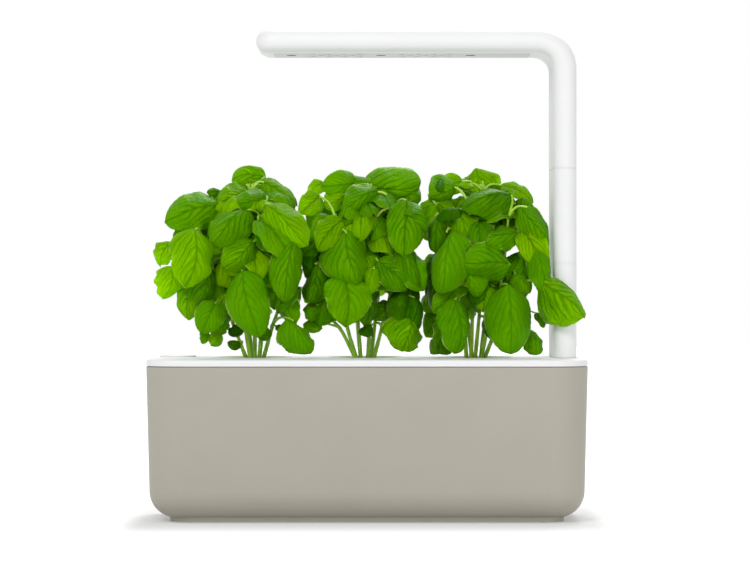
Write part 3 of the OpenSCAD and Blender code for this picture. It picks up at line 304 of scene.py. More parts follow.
def shaded(colour, by):
    """A colour with its light multiplied."""
    return tuple(min(1.0, c * by) for c in colour[:3]) + (1.0,)


# ---- settings ----


def colour_setting(name, description, *screen):
    """A colour property, with its default given as it looks on screen."""
    return FloatVectorProperty(
        name=name, description=description, subtype="COLOR", size=4, default=tint(*screen), min=0, max=1
    )


def amount(name, description, default, low, high, **kind):
    """A number property with its limits."""
    return FloatProperty(name=name, description=description, default=default, min=low, max=high, **kind)


class PlantSettings(PropertyGroup):
    leaf_thickness: amount("Leaf thickness", "Thickness of a blade", 0.00035, 0.0002, 0.001, unit="LENGTH")
    arch: amount("Arch", "How far a leaf bows towards its face, as a share of its length", 0.16, 0, 0.3)
    cup: amount("Cup", "How far a leaf's edges fall, as a share of its half width", 0.7, 0, 2)
    pucker: amount("Pucker", "Swelling between a leaf's veins, as a share of its width", 0.028, 0, 0.08)
    # Deep green serves partly as painted shade for leaves in among the others, and bright green partly as
    # painted light for leaves lit from behind
    deep_green: colour_setting("Deep green", "Colour of the deepest leaves", 34, 94, 0)
    mid_green: colour_setting("Middle green", "Colour of most leaves", 96, 170, 0)
    bright_green: colour_setting("Bright green", "Colour of leaves that the light comes through", 186, 238, 0)
    stem_green: colour_setting("Stem green", "Colour of the stems", 168, 212, 46)
    seed: IntProperty(name="Seed", description="Changes the small bends of the leaves", default=7, min=0)


class ShellSettings(PropertyGroup):
    tank: colour_setting("Tank", "Colour of the water tank", 170, 166, 153)
    white: colour_setting("White", "Colour of the lid and the lamp", 232, 232, 233)
    grain: amount("Grain", "Width of the grain on the moulded shells", 0.0005, 0.0001, 0.003, unit="LENGTH")


class StageSettings(PropertyGroup):
    ambient: amount("Ambient", "Strength of the light from all round", 0.62, 0, 2)
    key: amount("Key light", "Power of the key light", 26, 0, 200, unit="POWER")
    fill: amount("Fill light", "Power of the fill light", 16, 0, 200, unit="POWER")
    rear: amount("Rear light", "Power of the light behind the plants", 36, 0, 200, unit="POWER")
    shadow: amount(
        "Shadow", "How much of the floor's own shading shows near the garden", 0.8, 0, 0.95, subtype="FACTOR"
    )


# ---- shader helpers ----


def put(tree, kind, inputs=None, **settings):
    """Adds a node, sets its own settings, and sets or links its inputs by their names or numbers."""
    node = tree.nodes.new("ShaderNode" + kind)
    for name, value in settings.items():
        setattr(node, name, value)
    for name, value in (inputs or {}).items():
        socket = node.inputs[name]
        if isinstance(value, bpy.types.NodeSocket):
            tree.links.new(value, socket)
        else:
            socket.default_value = value
    return node


def calc(tree, operation, *values):
    """The result of a Math node on sockets or numbers."""
    return put(tree, "Math", dict(enumerate(values)), operation=operation).outputs[0]


def blend(tree, share, first, second, kind="MIX"):
    """A Mix node's colour, from first to second as share goes from 0 to 1."""
    return put(tree, "Mix", {0: share, 6: first, 7: second}, data_type="RGBA", blend_type=kind).outputs[2]


def span(tree, value, low, high, to_low=0.0, to_high=1.0):
    """value carried from one range to another, and kept within it."""
    places = {"Value": value, "From Min": low, "From Max": high, "To Min": to_low, "To Max": to_high}
    return put(tree, "MapRange", places, interpolation_type="SMOOTHSTEP").outputs[0]


def noise(tree, places, scale, detail, rough=0.5, distortion=0.0):
    return put(tree, "TexNoise", {
        "Vector": places, "Scale": scale, "Detail": detail, "Roughness": rough, "Distortion": distortion,
    }).outputs[0]


def stretched(tree, places, up):
    """Places scaled along the height, for streaks that run up and down or across."""
    return put(tree, "Mapping", {"Vector": places, "Scale": (1.0, 1.0, up)}).outputs[0]


def bump(tree, height, distance, strength=1.0):
    return put(tree, "Bump", {"Height": height, "Distance": distance, "Strength": strength}).outputs[0]


def length_of(tree, gaps):
    """The length of a vector given by its parts."""
    both = put(tree, "CombineXYZ", gaps).outputs[0]
    return put(tree, "VectorMath", {0: both}, operation="LENGTH").outputs["Value"]


def new_group(name, inputs, outputs):
    """A shader node group with named sockets, and its input and output nodes."""
    tree = bpy.data.node_groups.new(name, "ShaderNodeTree")
    for label, value in inputs:
        kind = "Vector" if value is None else "Float"
        socket = tree.interface.new_socket(label, in_out="INPUT", socket_type="NodeSocket" + kind)
        if value is not None:
            socket.default_value = value
    for label in outputs:
        tree.interface.new_socket(label, in_out="OUTPUT", socket_type="NodeSocketFloat")
    return tree, tree.nodes.new("NodeGroupInput").outputs, tree.nodes.new("NodeGroupOutput").inputs


def fine_grain():
    """Grain of a moulded or grown surface: small bumps, and a slow mottle for colour and gloss."""
    inputs = (("Vector", None), ("Width", 0.0005), ("Mottle Width", 0.03))
    tree, given, result = new_group("fine grain", inputs, ("Height", "Mottle"))
    for label, width, detail, rough in (("Height", "Width", 2.0, 0.6), ("Mottle", "Mottle Width", 3.0, 0.55)):
        value = noise(tree, given["Vector"], calc(tree, "DIVIDE", 1, given[width]), detail, rough)
        tree.links.new(value, result[label])
    return tree


def leaf_veins():
    """Veins of a leaf by its own places, 0 to 1 along it and -1 to 1 across, and streaks beside them."""
    inputs = (("Vector", None), ("Along", 0.5), ("Across", 0.0), ("Pairs", VEIN_PAIRS))
    tree, given, result = new_group("leaf veins", inputs, ("Rib", "Height", "Swell", "Streak"))
    along, across = given["Along"], given["Across"]
    off = calc(tree, "ABSOLUTE", across)
    rib = span(tree, off, 0.015, 0.06, 1, 0)
    wander = noise(tree, given["Vector"], 110.0, 1.0)
    sweep = calc(tree, "MULTIPLY", calc(tree, "POWER", off, VEIN_CURVE), VEIN_SWEEP)
    sweep = calc(tree, "MULTIPLY_ADD", wander, 0.2, sweep)
    step = calc(tree, "ADD", calc(tree, "MULTIPLY", calc(tree, "SIGN", across), VEIN_STAGGER), 3.0)
    phase = calc(tree, "MULTIPLY_ADD", calc(tree, "SUBTRACT", along, sweep), given["Pairs"], step)
    near = calc(tree, "ABSOLUTE", calc(tree, "SUBTRACT", calc(tree, "FRACT", phase), 0.5))
    vein = span(tree, near, 0.45, 0.5)
    fade = calc(tree, "MULTIPLY", span(tree, off, 0.6, 1.0, 1, 0.15), span(tree, along, 0.45, 0.95, 1, 0.35))
    shown = calc(tree, "MULTIPLY", vein, fade)
    height = calc(tree, "SUBTRACT", 1.0, calc(tree, "MAXIMUM", calc(tree, "MULTIPLY", shown, 0.8), rib))
    # Swell is low along the veins; the leaf's colour is darkened there as painted shade
    swell = calc(tree, "SUBTRACT", 1.0, calc(tree, "MULTIPLY", span(tree, near, 0.2, 0.5), fade))
    lengthways = put(tree, "CombineXYZ", {0: calc(tree, "MULTIPLY", phase, 2.6), 1: across, 2: wander})
    streak = noise(tree, lengthways.outputs[0], 1.6, 3.0, 0.6)
    for label, socket in (("Rib", rib), ("Height", height), ("Swell", swell), ("Streak", streak)):
        tree.links.new(socket, result[label])
    return tree


GROUPS = {"fine grain": fine_grain, "leaf veins": leaf_veins}


def use_group(tree, name, inputs):
    """Places one of the shared groups, built on first use."""
    group = bpy.data.node_groups.get(name) or GROUPS[name]()
    return put(tree, "Group", inputs, node_tree=group).outputs


def grain_on(tree, places, width, mottle_width):
    return use_group(tree, "fine grain", {"Vector": places, "Width": width, "Mottle Width": mottle_width})


def new_material(name):
    """A material with an empty tree, that tree, and the object's own places, which its patterns follow."""
    material = bpy.data.materials.new(name)
    material.use_nodes = True
    tree = material.node_tree
    tree.nodes.clear()
    return material, tree, put(tree, "TexCoord").outputs["Object"]


def shown_by(material, shader):
    """The material, with this shader on its surface."""
    tree = material.node_tree
    put(tree, "OutputMaterial", {"Surface": shader.outputs[0]})
    return material


def finished(material, inputs):
    """The material, with a Principled shader on its surface."""
    return shown_by(material, put(material.node_tree, "BsdfPrincipled", inputs))


# ---- finishes ----


def moulded(name, colour, rough, grain, depth=0.00002, mottle=0.04, shine=0.5):
    """Moulded plastic or rubber: grain in its bump, and a slow change in its colour and gloss."""
    material, tree, places = new_material(name)
    surface = grain_on(tree, places, grain, 0.05)
    share = span(tree, surface["Mottle"], 0.3, 0.7)
    return finished(material, {
        "Base Color": blend(tree, share, shaded(colour, 1 - mottle), colour),
        "Roughness": span(tree, surface["Mottle"], 0.25, 0.75, rough - 0.04, rough + 0.04),
        "Specular IOR Level": shine,
        "Normal": bump(tree, surface["Height"], depth),
    })


def welled_cover(name, colour, well_shade_colour, grain):
    """The light cover's plastic, with painted shade in black on the walls of its screw wells."""
    material = moulded(name, colour, 0.46, grain, 0.00001, 0.02, 0.3)
    tree = material.node_tree
    low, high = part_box("cover_screws")
    head = (high.y - low.y) / 2
    place = put(tree, "SeparateXYZ", {0: put(tree, "TexCoord").outputs["Object"]}).outputs
    nearest = 1.0
    for x in (low.x + head, (low.x + high.x) / 2, high.x - head):
        gap = calc(tree, "ABSOLUTE", calc(tree, "SUBTRACT", place[0], x))
        nearest = calc(tree, "MINIMUM", nearest, gap)
    reach = length_of(tree, {0: nearest, 1: place[1]})
    # Painted shade: the well colour, black, where the cover's screw wells are
    base = tree.nodes["Principled BSDF"].inputs["Base Color"]
    edge = head + WELL_RIM
    share = span(tree, reach, edge, edge + 0.0002)
    tree.links.new(blend(tree, share, well_shade_colour, base.links[0].from_socket), base)
    return material


def lit_lens(name, colour, rough=0.3):
    """A light's resin: a cloudy dome over a coated chip."""
    material, tree, places = new_material(name)
    cloud = noise(tree, places, 900.0, 2.0)
    return finished(material, {
        "Base Color": blend(tree, cloud, colour, shaded(colour, 1.15)),
        "Roughness": span(tree, cloud, 0.2, 0.8, rough - 0.1, rough + 0.1),
        "Coat Weight": 0.4,
    })


def board(name, mask_colour, track_colour):
    """Circuit board: tracks that show faintly through the coloured mask."""
    material, tree, places = new_material(name)
    tracks = put(tree, "TexBrick", {
        "Vector": places, "Scale": 260.0, "Mortar Size": 0.03, "Color1": (0, 0, 0, 1),
        "Color2": (0, 0, 0, 1), "Mortar": (1, 1, 1, 1),
    }).outputs[0]
    mottle = grain_on(tree, places, 0.0004, 0.01)["Mottle"]
    return finished(material, {
        "Base Color": blend(tree, calc(tree, "MULTIPLY", tracks, 0.35), mask_colour, track_colour),
        "Roughness": span(tree, mottle, 0.2, 0.8, 0.32, 0.45),
        "Normal": bump(tree, tracks, 0.00003),
    })


def turned_metal(name, colour, rough):
    """Plated or rolled metal with fine streaks."""
    material, tree, places = new_material(name)
    streaks = noise(tree, stretched(tree, places, 14.0), 700.0, 3.0)
    return finished(material, {
        "Base Color": blend(tree, streaks, shaded(colour, 0.82), colour),
        "Roughness": span(tree, streaks, 0.2, 0.8, rough - 0.08, rough + 0.1),
        "Metallic": 1.0,
        "Normal": bump(tree, streaks, 0.00001),
    })


def felt(name, colour):
    """Felted wick: matted fibres."""
    material, tree, places = new_material(name)
    fibre = noise(tree, stretched(tree, places, 0.2), 2600.0, 4.0, distortion=1.5)
    return finished(material, {
        "Base Color": blend(tree, span(tree, fibre, 0.3, 0.6), shaded(colour, 0.6), colour),
        "Roughness": span(tree, fibre, 0.2, 0.8, 0.85, 0.98),
        "Sheen Weight": 0.3,
        "Normal": bump(tree, fibre, 0.0004),
    })


def soil_mix(name):
    """Peat with coarser crumbs and a few pale grains."""
    material, tree, places = new_material(name)
    crumb = noise(tree, places, 900.0, 6.0, 0.7)
    grains = put(tree, "TexVoronoi", {"Vector": places, "Scale": 420.0, "Randomness": 1.0})
    chance = put(tree, "SeparateColor", {0: grains.outputs["Color"]}).outputs[0]
    pale = calc(tree, "GREATER_THAN", chance, 0.93)
    earth = blend(tree, span(tree, crumb, 0.3, 0.7), tint(38, 26, 18), tint(104, 78, 56))
    return finished(material, {
        "Base Color": blend(tree, pale, earth, tint(196, 184, 160)),
        "Roughness": span(tree, crumb, 0.2, 0.8, 0.85, 1.0),
        "Normal": bump(tree, crumb, 0.0008),
    })


def leaf_blade(plants):
    """Basil leaf: green with painted shade and light from its attribute, painted shade on rib and veins, a
    painted highlight on the edge, a paler back, and light through it.
    """
    material, tree, places = new_material("basil leaf")
    shade, crease = (put(tree, "Attribute", attribute_name=name).outputs["Fac"] for name in LEAF_MARKS)
    place = put(tree, "SeparateXYZ", {0: put(tree, "UVMap", uv_map=LEAF_MAP).outputs[0]}).outputs
    across = calc(tree, "MULTIPLY_ADD", place[0], 2.0, -1.0)
    veins = use_group(tree, "leaf veins", {"Vector": places, "Along": place[1], "Across": across})
    mottle = grain_on(tree, places, 0.0011, 0.012)["Mottle"]
    cells = put(tree, "TexVoronoi", {"Vector": places, "Scale": 420.0}, feature="SMOOTH_F1")
    # Streaks along the veins, partly the leaf's own streaky green and partly painted light and shade on the
    # swellings between veins
    streak = calc(tree, "MULTIPLY", span(tree, veins["Streak"], 0.3, 0.7, -0.2, 0.22), crease)
    shade = calc(tree, "ADD", shade, streak)
    mid = span(tree, shade, 0.0, 0.55)
    high = span(tree, shade, 0.5, 1.0)
    green = blend(tree, mid, plants.deep_green, plants.mid_green)
    green = blend(tree, high, green, plants.bright_green)
    green = blend(tree, span(tree, mottle, 0.35, 0.75, 0, 0.3), green, tint(124, 176, 0))
    # Painted shade: darker in the creases along the veins, more so in leaves with a strong crease
    vein_shade = calc(tree, "MULTIPLY", span(tree, veins["Swell"], 0, 1, 0.45, 0), crease)
    green = blend(tree, vein_shade, green, blend(tree, 1.0, green, tint(110, 140, 20), "MULTIPLY"))
    # Painted shade: a darker line along the rib's groove
    green = blend(tree, calc(tree, "MULTIPLY", veins["Rib"], 0.4), green, tint(56, 112, 0))
    # Painted highlight: a pale line along parts of the leaf's edge
    edge = span(tree, calc(tree, "ABSOLUTE", across), 0.93, 0.985)
    edge = calc(tree, "MULTIPLY", edge, span(tree, mottle, 0.42, 0.58, 0.0, 0.8))
    green = blend(tree, edge, green, tint(214, 236, 130))
    back = put(tree, "NewGeometry").outputs["Backfacing"]
    green = blend(tree, calc(tree, "MULTIPLY", back, 0.35), green, tint(150, 184, 60))
    relief = calc(tree, "MULTIPLY_ADD", veins["Streak"], 0.8, veins["Height"])
    relief = calc(tree, "SUBTRACT", relief, calc(tree, "MULTIPLY", cells.outputs["Distance"], 0.7))
    normal = bump(tree, relief, 0.0007, span(tree, crease, 0, 1, 0.25, 1))
    shader = put(tree, "BsdfPrincipled", {
        "Base Color": green,
        "Roughness": span(tree, mottle, 0.2, 0.8, 0.36, 0.46),
        "Specular IOR Level": 0.16,
        "Specular Tint": tint(190, 235, 40),
        "Normal": normal,
    })
    through = put(tree, "BsdfTranslucent", {
        "Color": blend(tree, 0.6, green, tint(205, 245, 0)), "Normal": normal,
    })
    share = span(tree, shade, 0.2, 1.0, 0.25, 0.7)
    return shown_by(material, put(tree, "MixShader", {0: share, 1: shader.outputs[0], 2: through.outputs[0]}))


def stem_skin(plants):
    """Basil stem: pale green with fine lengthways ribs."""
    material, tree, places = new_material("basil stem")
    ribs = noise(tree, stretched(tree, places, 0.08), 900.0, 2.0)
    mottle = grain_on(tree, places, 0.0008, 0.02)["Mottle"]
    green = blend(tree, span(tree, mottle, 0.3, 0.7), plants.stem_green, tint(122, 178, 22))
    return finished(material, {
        "Base Color": blend(tree, span(tree, ribs, 0.45, 0.7, 0, 0.4), green, tint(206, 226, 128)),
        "Roughness": span(tree, ribs, 0.2, 0.8, 0.38, 0.5),
        "Subsurface Weight": 0.3,
        "Subsurface Radius": (0.0015, 0.0025, 0.0004),
        "Subsurface Scale": 1.0,
        "Normal": bump(tree, ribs, 0.0002),
    })


# ---- modelling helpers ----


def deselect():
    bpy.ops.object.select_all(action="DESELECT")
    bpy.context.view_layer.objects.active = None


def pick(*objects):
    """Selects these objects and nothing else, with the first one active."""
    deselect()
    for item in objects:
        item.select_set(True)
    bpy.context.view_layer.objects.active = objects[0]


def apply_modifier(item, kind, **settings):
    """Adds a modifier with these settings and applies it."""
    pick(item)
    modifier = item.modifiers.new(kind.lower(), kind)
    for name, value in settings.items():
        setattr(modifier, name, value)
    bpy.ops.object.modifier_apply(modifier=modifier.name)


def divide(cuts):
    """Subdivides the active piece all over."""
    bpy.ops.object.mode_set(mode="EDIT")
    bpy.ops.mesh.select_all(action="SELECT")
    bpy.ops.mesh.subdivide(number_cuts=cuts)
    bpy.ops.object.mode_set(mode="OBJECT")


def smooth(item, degrees=60):
    pick(item)
    bpy.ops.object.shade_smooth_by_angle(angle=math.radians(degrees))


def dress(item, plant, name, node, material):
    """Names a plant's finished piece, gives it its material, and lets it ride the cup for its node."""
    number = plant + 1
    item.name = f"{name}_{number}"
    item.data.materials.clear()
    item.data.materials.append(material)
    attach(item, f"cup_{number}")
    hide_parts(f"{node}_{number}")


def curve_through(xs, ys, at):
    """Smooth values at the given places, through the points xs, ys."""
    xs, ys, at = np.asarray(xs, float), np.asarray(ys, float), np.asarray(at, float)
    slopes = np.gradient(ys, xs, axis=0)
    k = np.clip(np.searchsorted(xs, at, side="right") - 1, 0, len(xs) - 2)
    gap = xs[k + 1] - xs[k]
    t = (at - xs[k]) / gap
    if ys.ndim > 1:
        t, gap = t[:, None], gap[:, None]
    return ((1 + 2 * t) * (1 - t) ** 2 * ys[k] + t * (1 - t) ** 2 * gap * slopes[k]
            + t * t * (3 - 2 * t) * ys[k + 1] + t * t * (t - 1) * gap * slopes[k + 1])


def cap_off(values, limit, room):
    """Values that ease to a stop at a limit, from the given room before it."""
    over = values - (limit - room)
    return np.where(over > 0, limit - room * np.exp(-np.maximum(over, 0) / room), values)


def side_lines(y, plant):
    """The least and greatest x that a plant's leaves may reach at each depth."""
    low = np.full(y.shape, CAD_BOX[0].x - LEFT_ROOM)
    if plant > 0:
        low = np.interp(y, *zip(*BORDERS[plant - 1])) + BORDER_GAP
    if plant < 2:
        return low, np.interp(y, *zip(*BORDERS[plant])) - BORDER_GAP
    before = np.clip((POST_FRONT - FACE_GAP - y) / POST_EASE, 0, 1)
    return low, POST_LEFT - POST_GAP + POST_COVER * before


def keep_clear(points, plant, most=0.0):
    """Points kept in a plant's own room: moved across together, then eased one by one."""
    x, y, z = points.T.copy()
    y = -cap_off(-cap_off(y, DEPTH_ROOM, 0.004), DEPTH_ROOM, 0.003)
    low, high = side_lines(y, plant)
    x += min(most, max(0.0, np.max(low - x))) - min(most, max(0.0, np.max(x - high)))
    x = cap_off(x, high, 0.002)
    x = -cap_off(-x, -low, 0.002)
    z = -cap_off(-z, -(LID_TOP + LID_GAP), 0.003)
    return np.stack([x, y, cap_off(z, LID_TOP + TOP_ROOM, 0.003)], axis=1)


def stem_points(plant, count=14):
    """Each stem of a plant as points in metres, from the cup up."""
    origin = np.array([POD_X[plant], 0, LID_TOP])
    out = []
    for stem in STEMS[plant]:
        line = np.array(stem, float) / 1000 + origin
        out.append(curve_through(range(len(line)), line, np.linspace(0, len(line) - 1, count)))
    return out


def nearest_joint(stems, base):
    """The point on a plant's stems where a leaf's stalk starts: near the blade and rather below it."""
    places = np.concatenate([line[3:] for line in stems])
    offset = places - np.array(base)
    cost = np.linalg.norm(offset, axis=1) + 3 * np.maximum(0, offset[:, 2] + 0.003)
    return Vector(places[int(np.argmin(cost))])


def shows_in_gap(points):
    """Whether any of these points would show in a place that stays open between the leaves."""
    for x, y, z in points:
        far = y - EYE.y
        across = VIEW_MIDDLE[0] + (x - EYE.x) * VIEW_SCALE / far
        down = VIEW_MIDDLE[1] - (z - EYE.z) * VIEW_SCALE / far
        if any(left < across < right and top < down < bottom for left, top, right, bottom in SEE_THROUGH):
            return True
    return False


def rear_leaves(plant, draw):
    """Leaves behind and between the front ones, tier by tier, as base, tip, width, look and shade."""
    rows = []
    for up, reach, fall, length, count, first, last, shades in TIERS:
        middle = Vector((POD_X[plant], 0, LID_TOP + up / 1000))
        for k in range(count):
            turn = math.radians(first + (last - first) * (k + draw.uniform(0.25, 0.75)) / count)
            out = Vector((math.cos(turn), math.sin(turn), 0))
            tip = middle + out * reach * draw.uniform(0.88, 1.06) / 1000
            tip.z -= fall * draw.uniform(0.5, 1.2) / 1000
            slope = max(-0.9, min(0.95, fall / length))
            back = (out * math.sqrt(1 - slope ** 2) - Vector((0, 0, slope))).normalized()
            size = length * draw.uniform(0.84, 1.1) / 1000
            base = tip - back * size
            look = (out * 0.8 + Vector((0, draw.uniform(-0.3, 0.1), 0.7))).normalized()
            width = size * draw.uniform(0.66, 0.8)
            side = back.cross(look).normalized() * width / 2
            shares = ((u, v) for u in (0, 0.2, 0.4, 0.6, 0.8, 1) for v in (-1, -0.4, 0.4, 1))
            if not shows_in_gap(base + (tip - base) * u + side * v for u, v in shares):
                rows.append((base, tip, width, look, draw.choice(shades)))
    return rows


def front_leaves(plant, draw):
    """The leaves of the front view as base, tip, width, look and shade."""
    rows = []
    for *ends, width, face, shade in FRONT_LEAVES[plant]:
        start, end = in_view(*ends[:3]), in_view(*ends[3:])
        end += (end - start) * LONGER
        wide = width * (1 + WIDER) * ((start.y + end.y) / 2 - EYE.y) / VIEW_SCALE
        angle = math.radians(face * 0.6)
        yaw = math.radians(draw.uniform(-32, 32))
        look = Matrix.Rotation(yaw, 3, end - start) @ Vector((0, -math.cos(angle), math.sin(angle)))
        rows.append((start, end, wide / math.cos(yaw), look, shade))
    return rows


def flat_blade(along, across):
    """A flat grid 2 units wide and long, with its own places in a UV map, which each leaf is a copy of."""
    bpy.ops.mesh.primitive_grid_add(x_subdivisions=across, y_subdivisions=along, size=2)
    sheet = bpy.context.object
    while sheet.data.uv_layers:
        sheet.data.uv_layers.remove(sheet.data.uv_layers[0])
    layer = sheet.data.uv_layers.new(name=LEAF_MAP)
    for loop in sheet.data.loops:
        x, y, _ = sheet.data.vertices[loop.vertex_index].co
        layer.data[loop.index].uv = ((x + 1) / 2, (y + 1) / 2)
    for name in LEAF_MARKS:
        sheet.data.attributes.new(name, "FLOAT", "POINT")
    return sheet


def bend_blade(sheet, row, plant, plants, draw):
    """Shapes one flat copy as a leaf: outline, arch, cup, rib, swellings between veins and a wavy edge."""
    start, tip, width, look, shade = row
    count = len(sheet.data.vertices)
    flat = np.empty(count * 3, np.float32)
    sheet.data.vertices.foreach_get("co", flat)
    v, u = flat[0::3].astype(float), (flat[1::3].astype(float) + 1) / 2
    length = (tip - start).length
    axis = (tip - start) / length
    side = axis.cross(look).normalized()
    out = side.cross(axis)
    share = curve_through(*zip(*OUTLINE), u)
    half = width / 2 * np.maximum(share, 0.02) * (1 + TOOTH * np.sin(2 * math.pi * TEETH * u))
    off = np.abs(v)
    arch = plants.arch * draw.uniform(0.6, 1.5) * length
    cup = plants.cup * np.where(v < 0, draw.uniform(0.4, 1.6), draw.uniform(0.4, 1.6))
    fold = draw.choice((-1, 1, 1)) * draw.uniform(0.1, 0.55)
    lift = 4 * arch * u * (1 - u) - cup * half * off ** 1.7 - fold * half * off
    lift -= draw.uniform(0.3, 1.5) * length * np.maximum(0, u - 0.7) ** 2
    roll = draw.uniform(0.5, 1.1) * u + draw.choice((-1, 1)) * draw.uniform(0.15, 0.4) * v + draw.random()
    lift += draw.uniform(0.02, 0.07) * width * np.sin(2 * math.pi * roll)
    lift -= RIB_DEPTH * np.exp(-((v * half) / RIB_WIDTH) ** 2) * min(1, width / RIB_LEAF)
    phase = (u - VEIN_SWEEP * off ** VEIN_CURVE) * VEIN_PAIRS + VEIN_STAGGER * np.sign(v)
    swell = np.abs(np.sin(math.pi * phase)) ** 0.7 - 0.5
    inner = np.minimum(1, off * 5) * (1 - off ** 3) * np.clip(u * 8, 0, 1) * np.clip((1 - u) * 5, 0, 1)
    lift += plants.pucker * draw.uniform(0.3, 2.0) * width * swell * inner
    for sign in (-1, 1):
        wave = np.sin(2 * math.pi * (draw.uniform(1.4, 3.2) * u + draw.random()))
        lift += np.where(v * sign > 0, draw.uniform(0.08, 0.26) * half * wave * off ** 2.5, 0)
    sway = draw.uniform(-0.07, 0.07) * length * np.sin(math.pi * u)
    twist = draw.uniform(-0.6, 0.6) * (u - 0.3)
    y = v * half * (1 - 0.06 * cup * off)
    y, lift = y * np.cos(twist) - lift * np.sin(twist), y * np.sin(twist) + lift * np.cos(twist)
    points = np.array(start) + np.outer(u * length, axis) + np.outer(y + sway, side) + np.outer(lift, out)
    sheet.data.vertices.foreach_set("co", keep_clear(points, plant, 0.004).astype(np.float32).ravel())
    # Each leaf's green from its shade value, with painted shade: a little darker towards the base, where the
    # leaves above shade it, and lighter towards the tip
    tone_and_shade = np.clip(shade / 9 + draw.uniform(-0.05, 0.05) + 0.06 * (u - 0.5), 0, 1)
    crease = np.full(count, draw.uniform(0.45, 1.0))
    for name, values in zip(LEAF_MARKS, (tone_and_shade, crease)):
        sheet.data.attributes[name].data.foreach_set("value", values.astype(np.float32))
    sheet.data.update()


def tube(curve, points, radii):
    """Adds a smooth line of points with their radii to a curve."""
    line = curve.splines.new("POLY")
    line.points.add(len(points) - 1)
    for place, point, radius in zip(line.points, points, radii):
        place.co = (*point, 1)
        place.radius = radius


# ---- pieces ----


def fill_cup(plant, material):
    number = plant + 1
    low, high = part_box(f"soil_{number}")
    top = (high.x - low.x) / 2
    foot = top - (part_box(f"plant_cup_{number}")[1].x - POD_X[plant] - CUP_FOOT) - MIX_PLAY
    bpy.ops.mesh.primitive_cone_add(
        vertices=64, radius1=foot, radius2=top, depth=high.z - low.z, end_fill_type="TRIFAN",
        location=(POD_X[plant], 0, (low.z + high.z) / 2),
    )
    lump = bpy.context.object
    bpy.ops.object.transform_apply()
    divide(7)
    draw = random.Random(plant)
    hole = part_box(f"collar_{number}")[1].x - POD_X[plant]
    for vertex in lump.data.vertices:
        x, y = vertex.co.x - POD_X[plant], vertex.co.y
        reach = math.hypot(x, y)
        if vertex.co.z > high.z - SKIN and reach < MOUND_RADIUS:
            vertex.co.z += MOUND_HEIGHT * (1 - (reach / MOUND_RADIUS) ** 2) + draw.uniform(0, CRUMB_TOP)
        elif low.z + SKIN < vertex.co.z < high.z - SKIN and reach > hole * 0.2:
            pull = 1 - draw.uniform(0, CRUMB_SIDE) / reach
            vertex.co.x, vertex.co.y = POD_X[plant] + x * pull, y * pull
    smooth(lump)
    dress(lump, plant, "growing_mix", "soil", material)


def hang_wick(plant, material):
    low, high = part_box(f"wick_{plant + 1}")
    middle = (low + high) / 2
    bpy.ops.mesh.primitive_cube_add(size=1, location=middle)
    strip = bpy.context.object
    strip.scale = high - low
    bpy.ops.object.transform_apply()
    apply_modifier(strip, "BEVEL", width=WICK_EDGE, segments=3)
    divide(5)
    draw = random.Random(20 + plant)
    for vertex in strip.data.vertices:
        for axis, fuzz in ((1, 0.05), (0, 0.012)):
            place = middle[axis]
            vertex.co[axis] = place + (vertex.co[axis] - place) * (1 - draw.uniform(0, fuzz))
    smooth(strip)
    dress(strip, plant, "felt_wick", "wick", material)


def grow_leaves(plant, rows, sheets, plants, material, draw):
    blades = []
    wide, middling, small = sheets
    for place, row in enumerate(rows):
        width = row[2]
        model = middling if width > MIDDLING_LEAF else small
        if place < len(FRONT_LEAVES[plant]) and width > WIDE_LEAF:
            model = wide
        sheet = model.copy()
        sheet.data = model.data.copy()
        bpy.context.scene.collection.objects.link(sheet)
        bend_blade(sheet, row, plant, plants, draw)
        blades.append(sheet)
    pick(*blades)
    bpy.ops.object.join()
    foliage = bpy.context.object
    thickness = plants.leaf_thickness
    apply_modifier(foliage, "SOLIDIFY", thickness=thickness, offset=-1, use_even_offset=False)
    pick(foliage)
    bpy.ops.object.shade_smooth()
    dress(foliage, plant, "basil_leaves", "leaves", material)


def grow_stems(plant, rows, material):
    curve = bpy.data.curves.new("stems", "CURVE")
    curve.dimensions, curve.bevel_depth, curve.bevel_resolution, curve.use_fill_caps = "3D", 1.0, 2, True
    stems = stem_points(plant)
    for line in stems:
        share = np.linspace(0, 1, len(line))
        tube(curve, line, STEM_RADIUS - STEM_TAPER * share + KNOB * np.sin(share * KNOB_PITCH))
    for base, tip, width, _, _ in rows:
        start = nearest_joint(stems, base)
        axis = (tip - base).normalized()
        bend = (start + base) / 2 + Vector((0, 0, 0.004)) - axis * 0.003
        t = np.linspace(0, 1, 7)[:, None]
        end = base + axis * 0.0012
        line = (1 - t) ** 2 * np.array(start) + 2 * t * (1 - t) * np.array(bend) + t * t * np.array(end)
        thick = STALK_RADII[width >= SMALL_LEAF]
        tube(curve, keep_clear(line, plant), np.linspace(thick * 1.15, thick * 0.8, 7))
    item = bpy.data.objects.new("stems", curve)
    bpy.context.scene.collection.objects.link(item)
    pick(item)
    bpy.ops.object.convert(target="MESH")
    smooth(item)
    dress(item, plant, "basil_stems", "stems", material)


# ---- stage ----


def direct_view(tree):
    """1 for rays that carry the background to the eye: directly, mirrored, or through something clear."""
    rays = put(tree, "LightPath").outputs
    mirrored = calc(tree, "MAXIMUM", rays["Is Glossy Ray"], rays["Is Transmission Ray"])
    return calc(tree, "MAXIMUM", rays["Is Camera Ray"], mirrored)


def off_the_tank(tree, places):
    """How far a place on the floor is from the tank's footprint."""
    place = put(tree, "SeparateXYZ", {0: places}).outputs
    low, high = CAD_BOX
    gaps = {}
    for axis, weight in ((0, SIDEWAYS), (1, 1.0)):
        off = calc(tree, "SUBTRACT", calc(tree, "ABSOLUTE", place[axis]), (high[axis] - low[axis]) / 2)
        gaps[axis] = calc(tree, "MULTIPLY", calc(tree, "MAXIMUM", off, 0.0), weight)
    return length_of(tree, gaps)


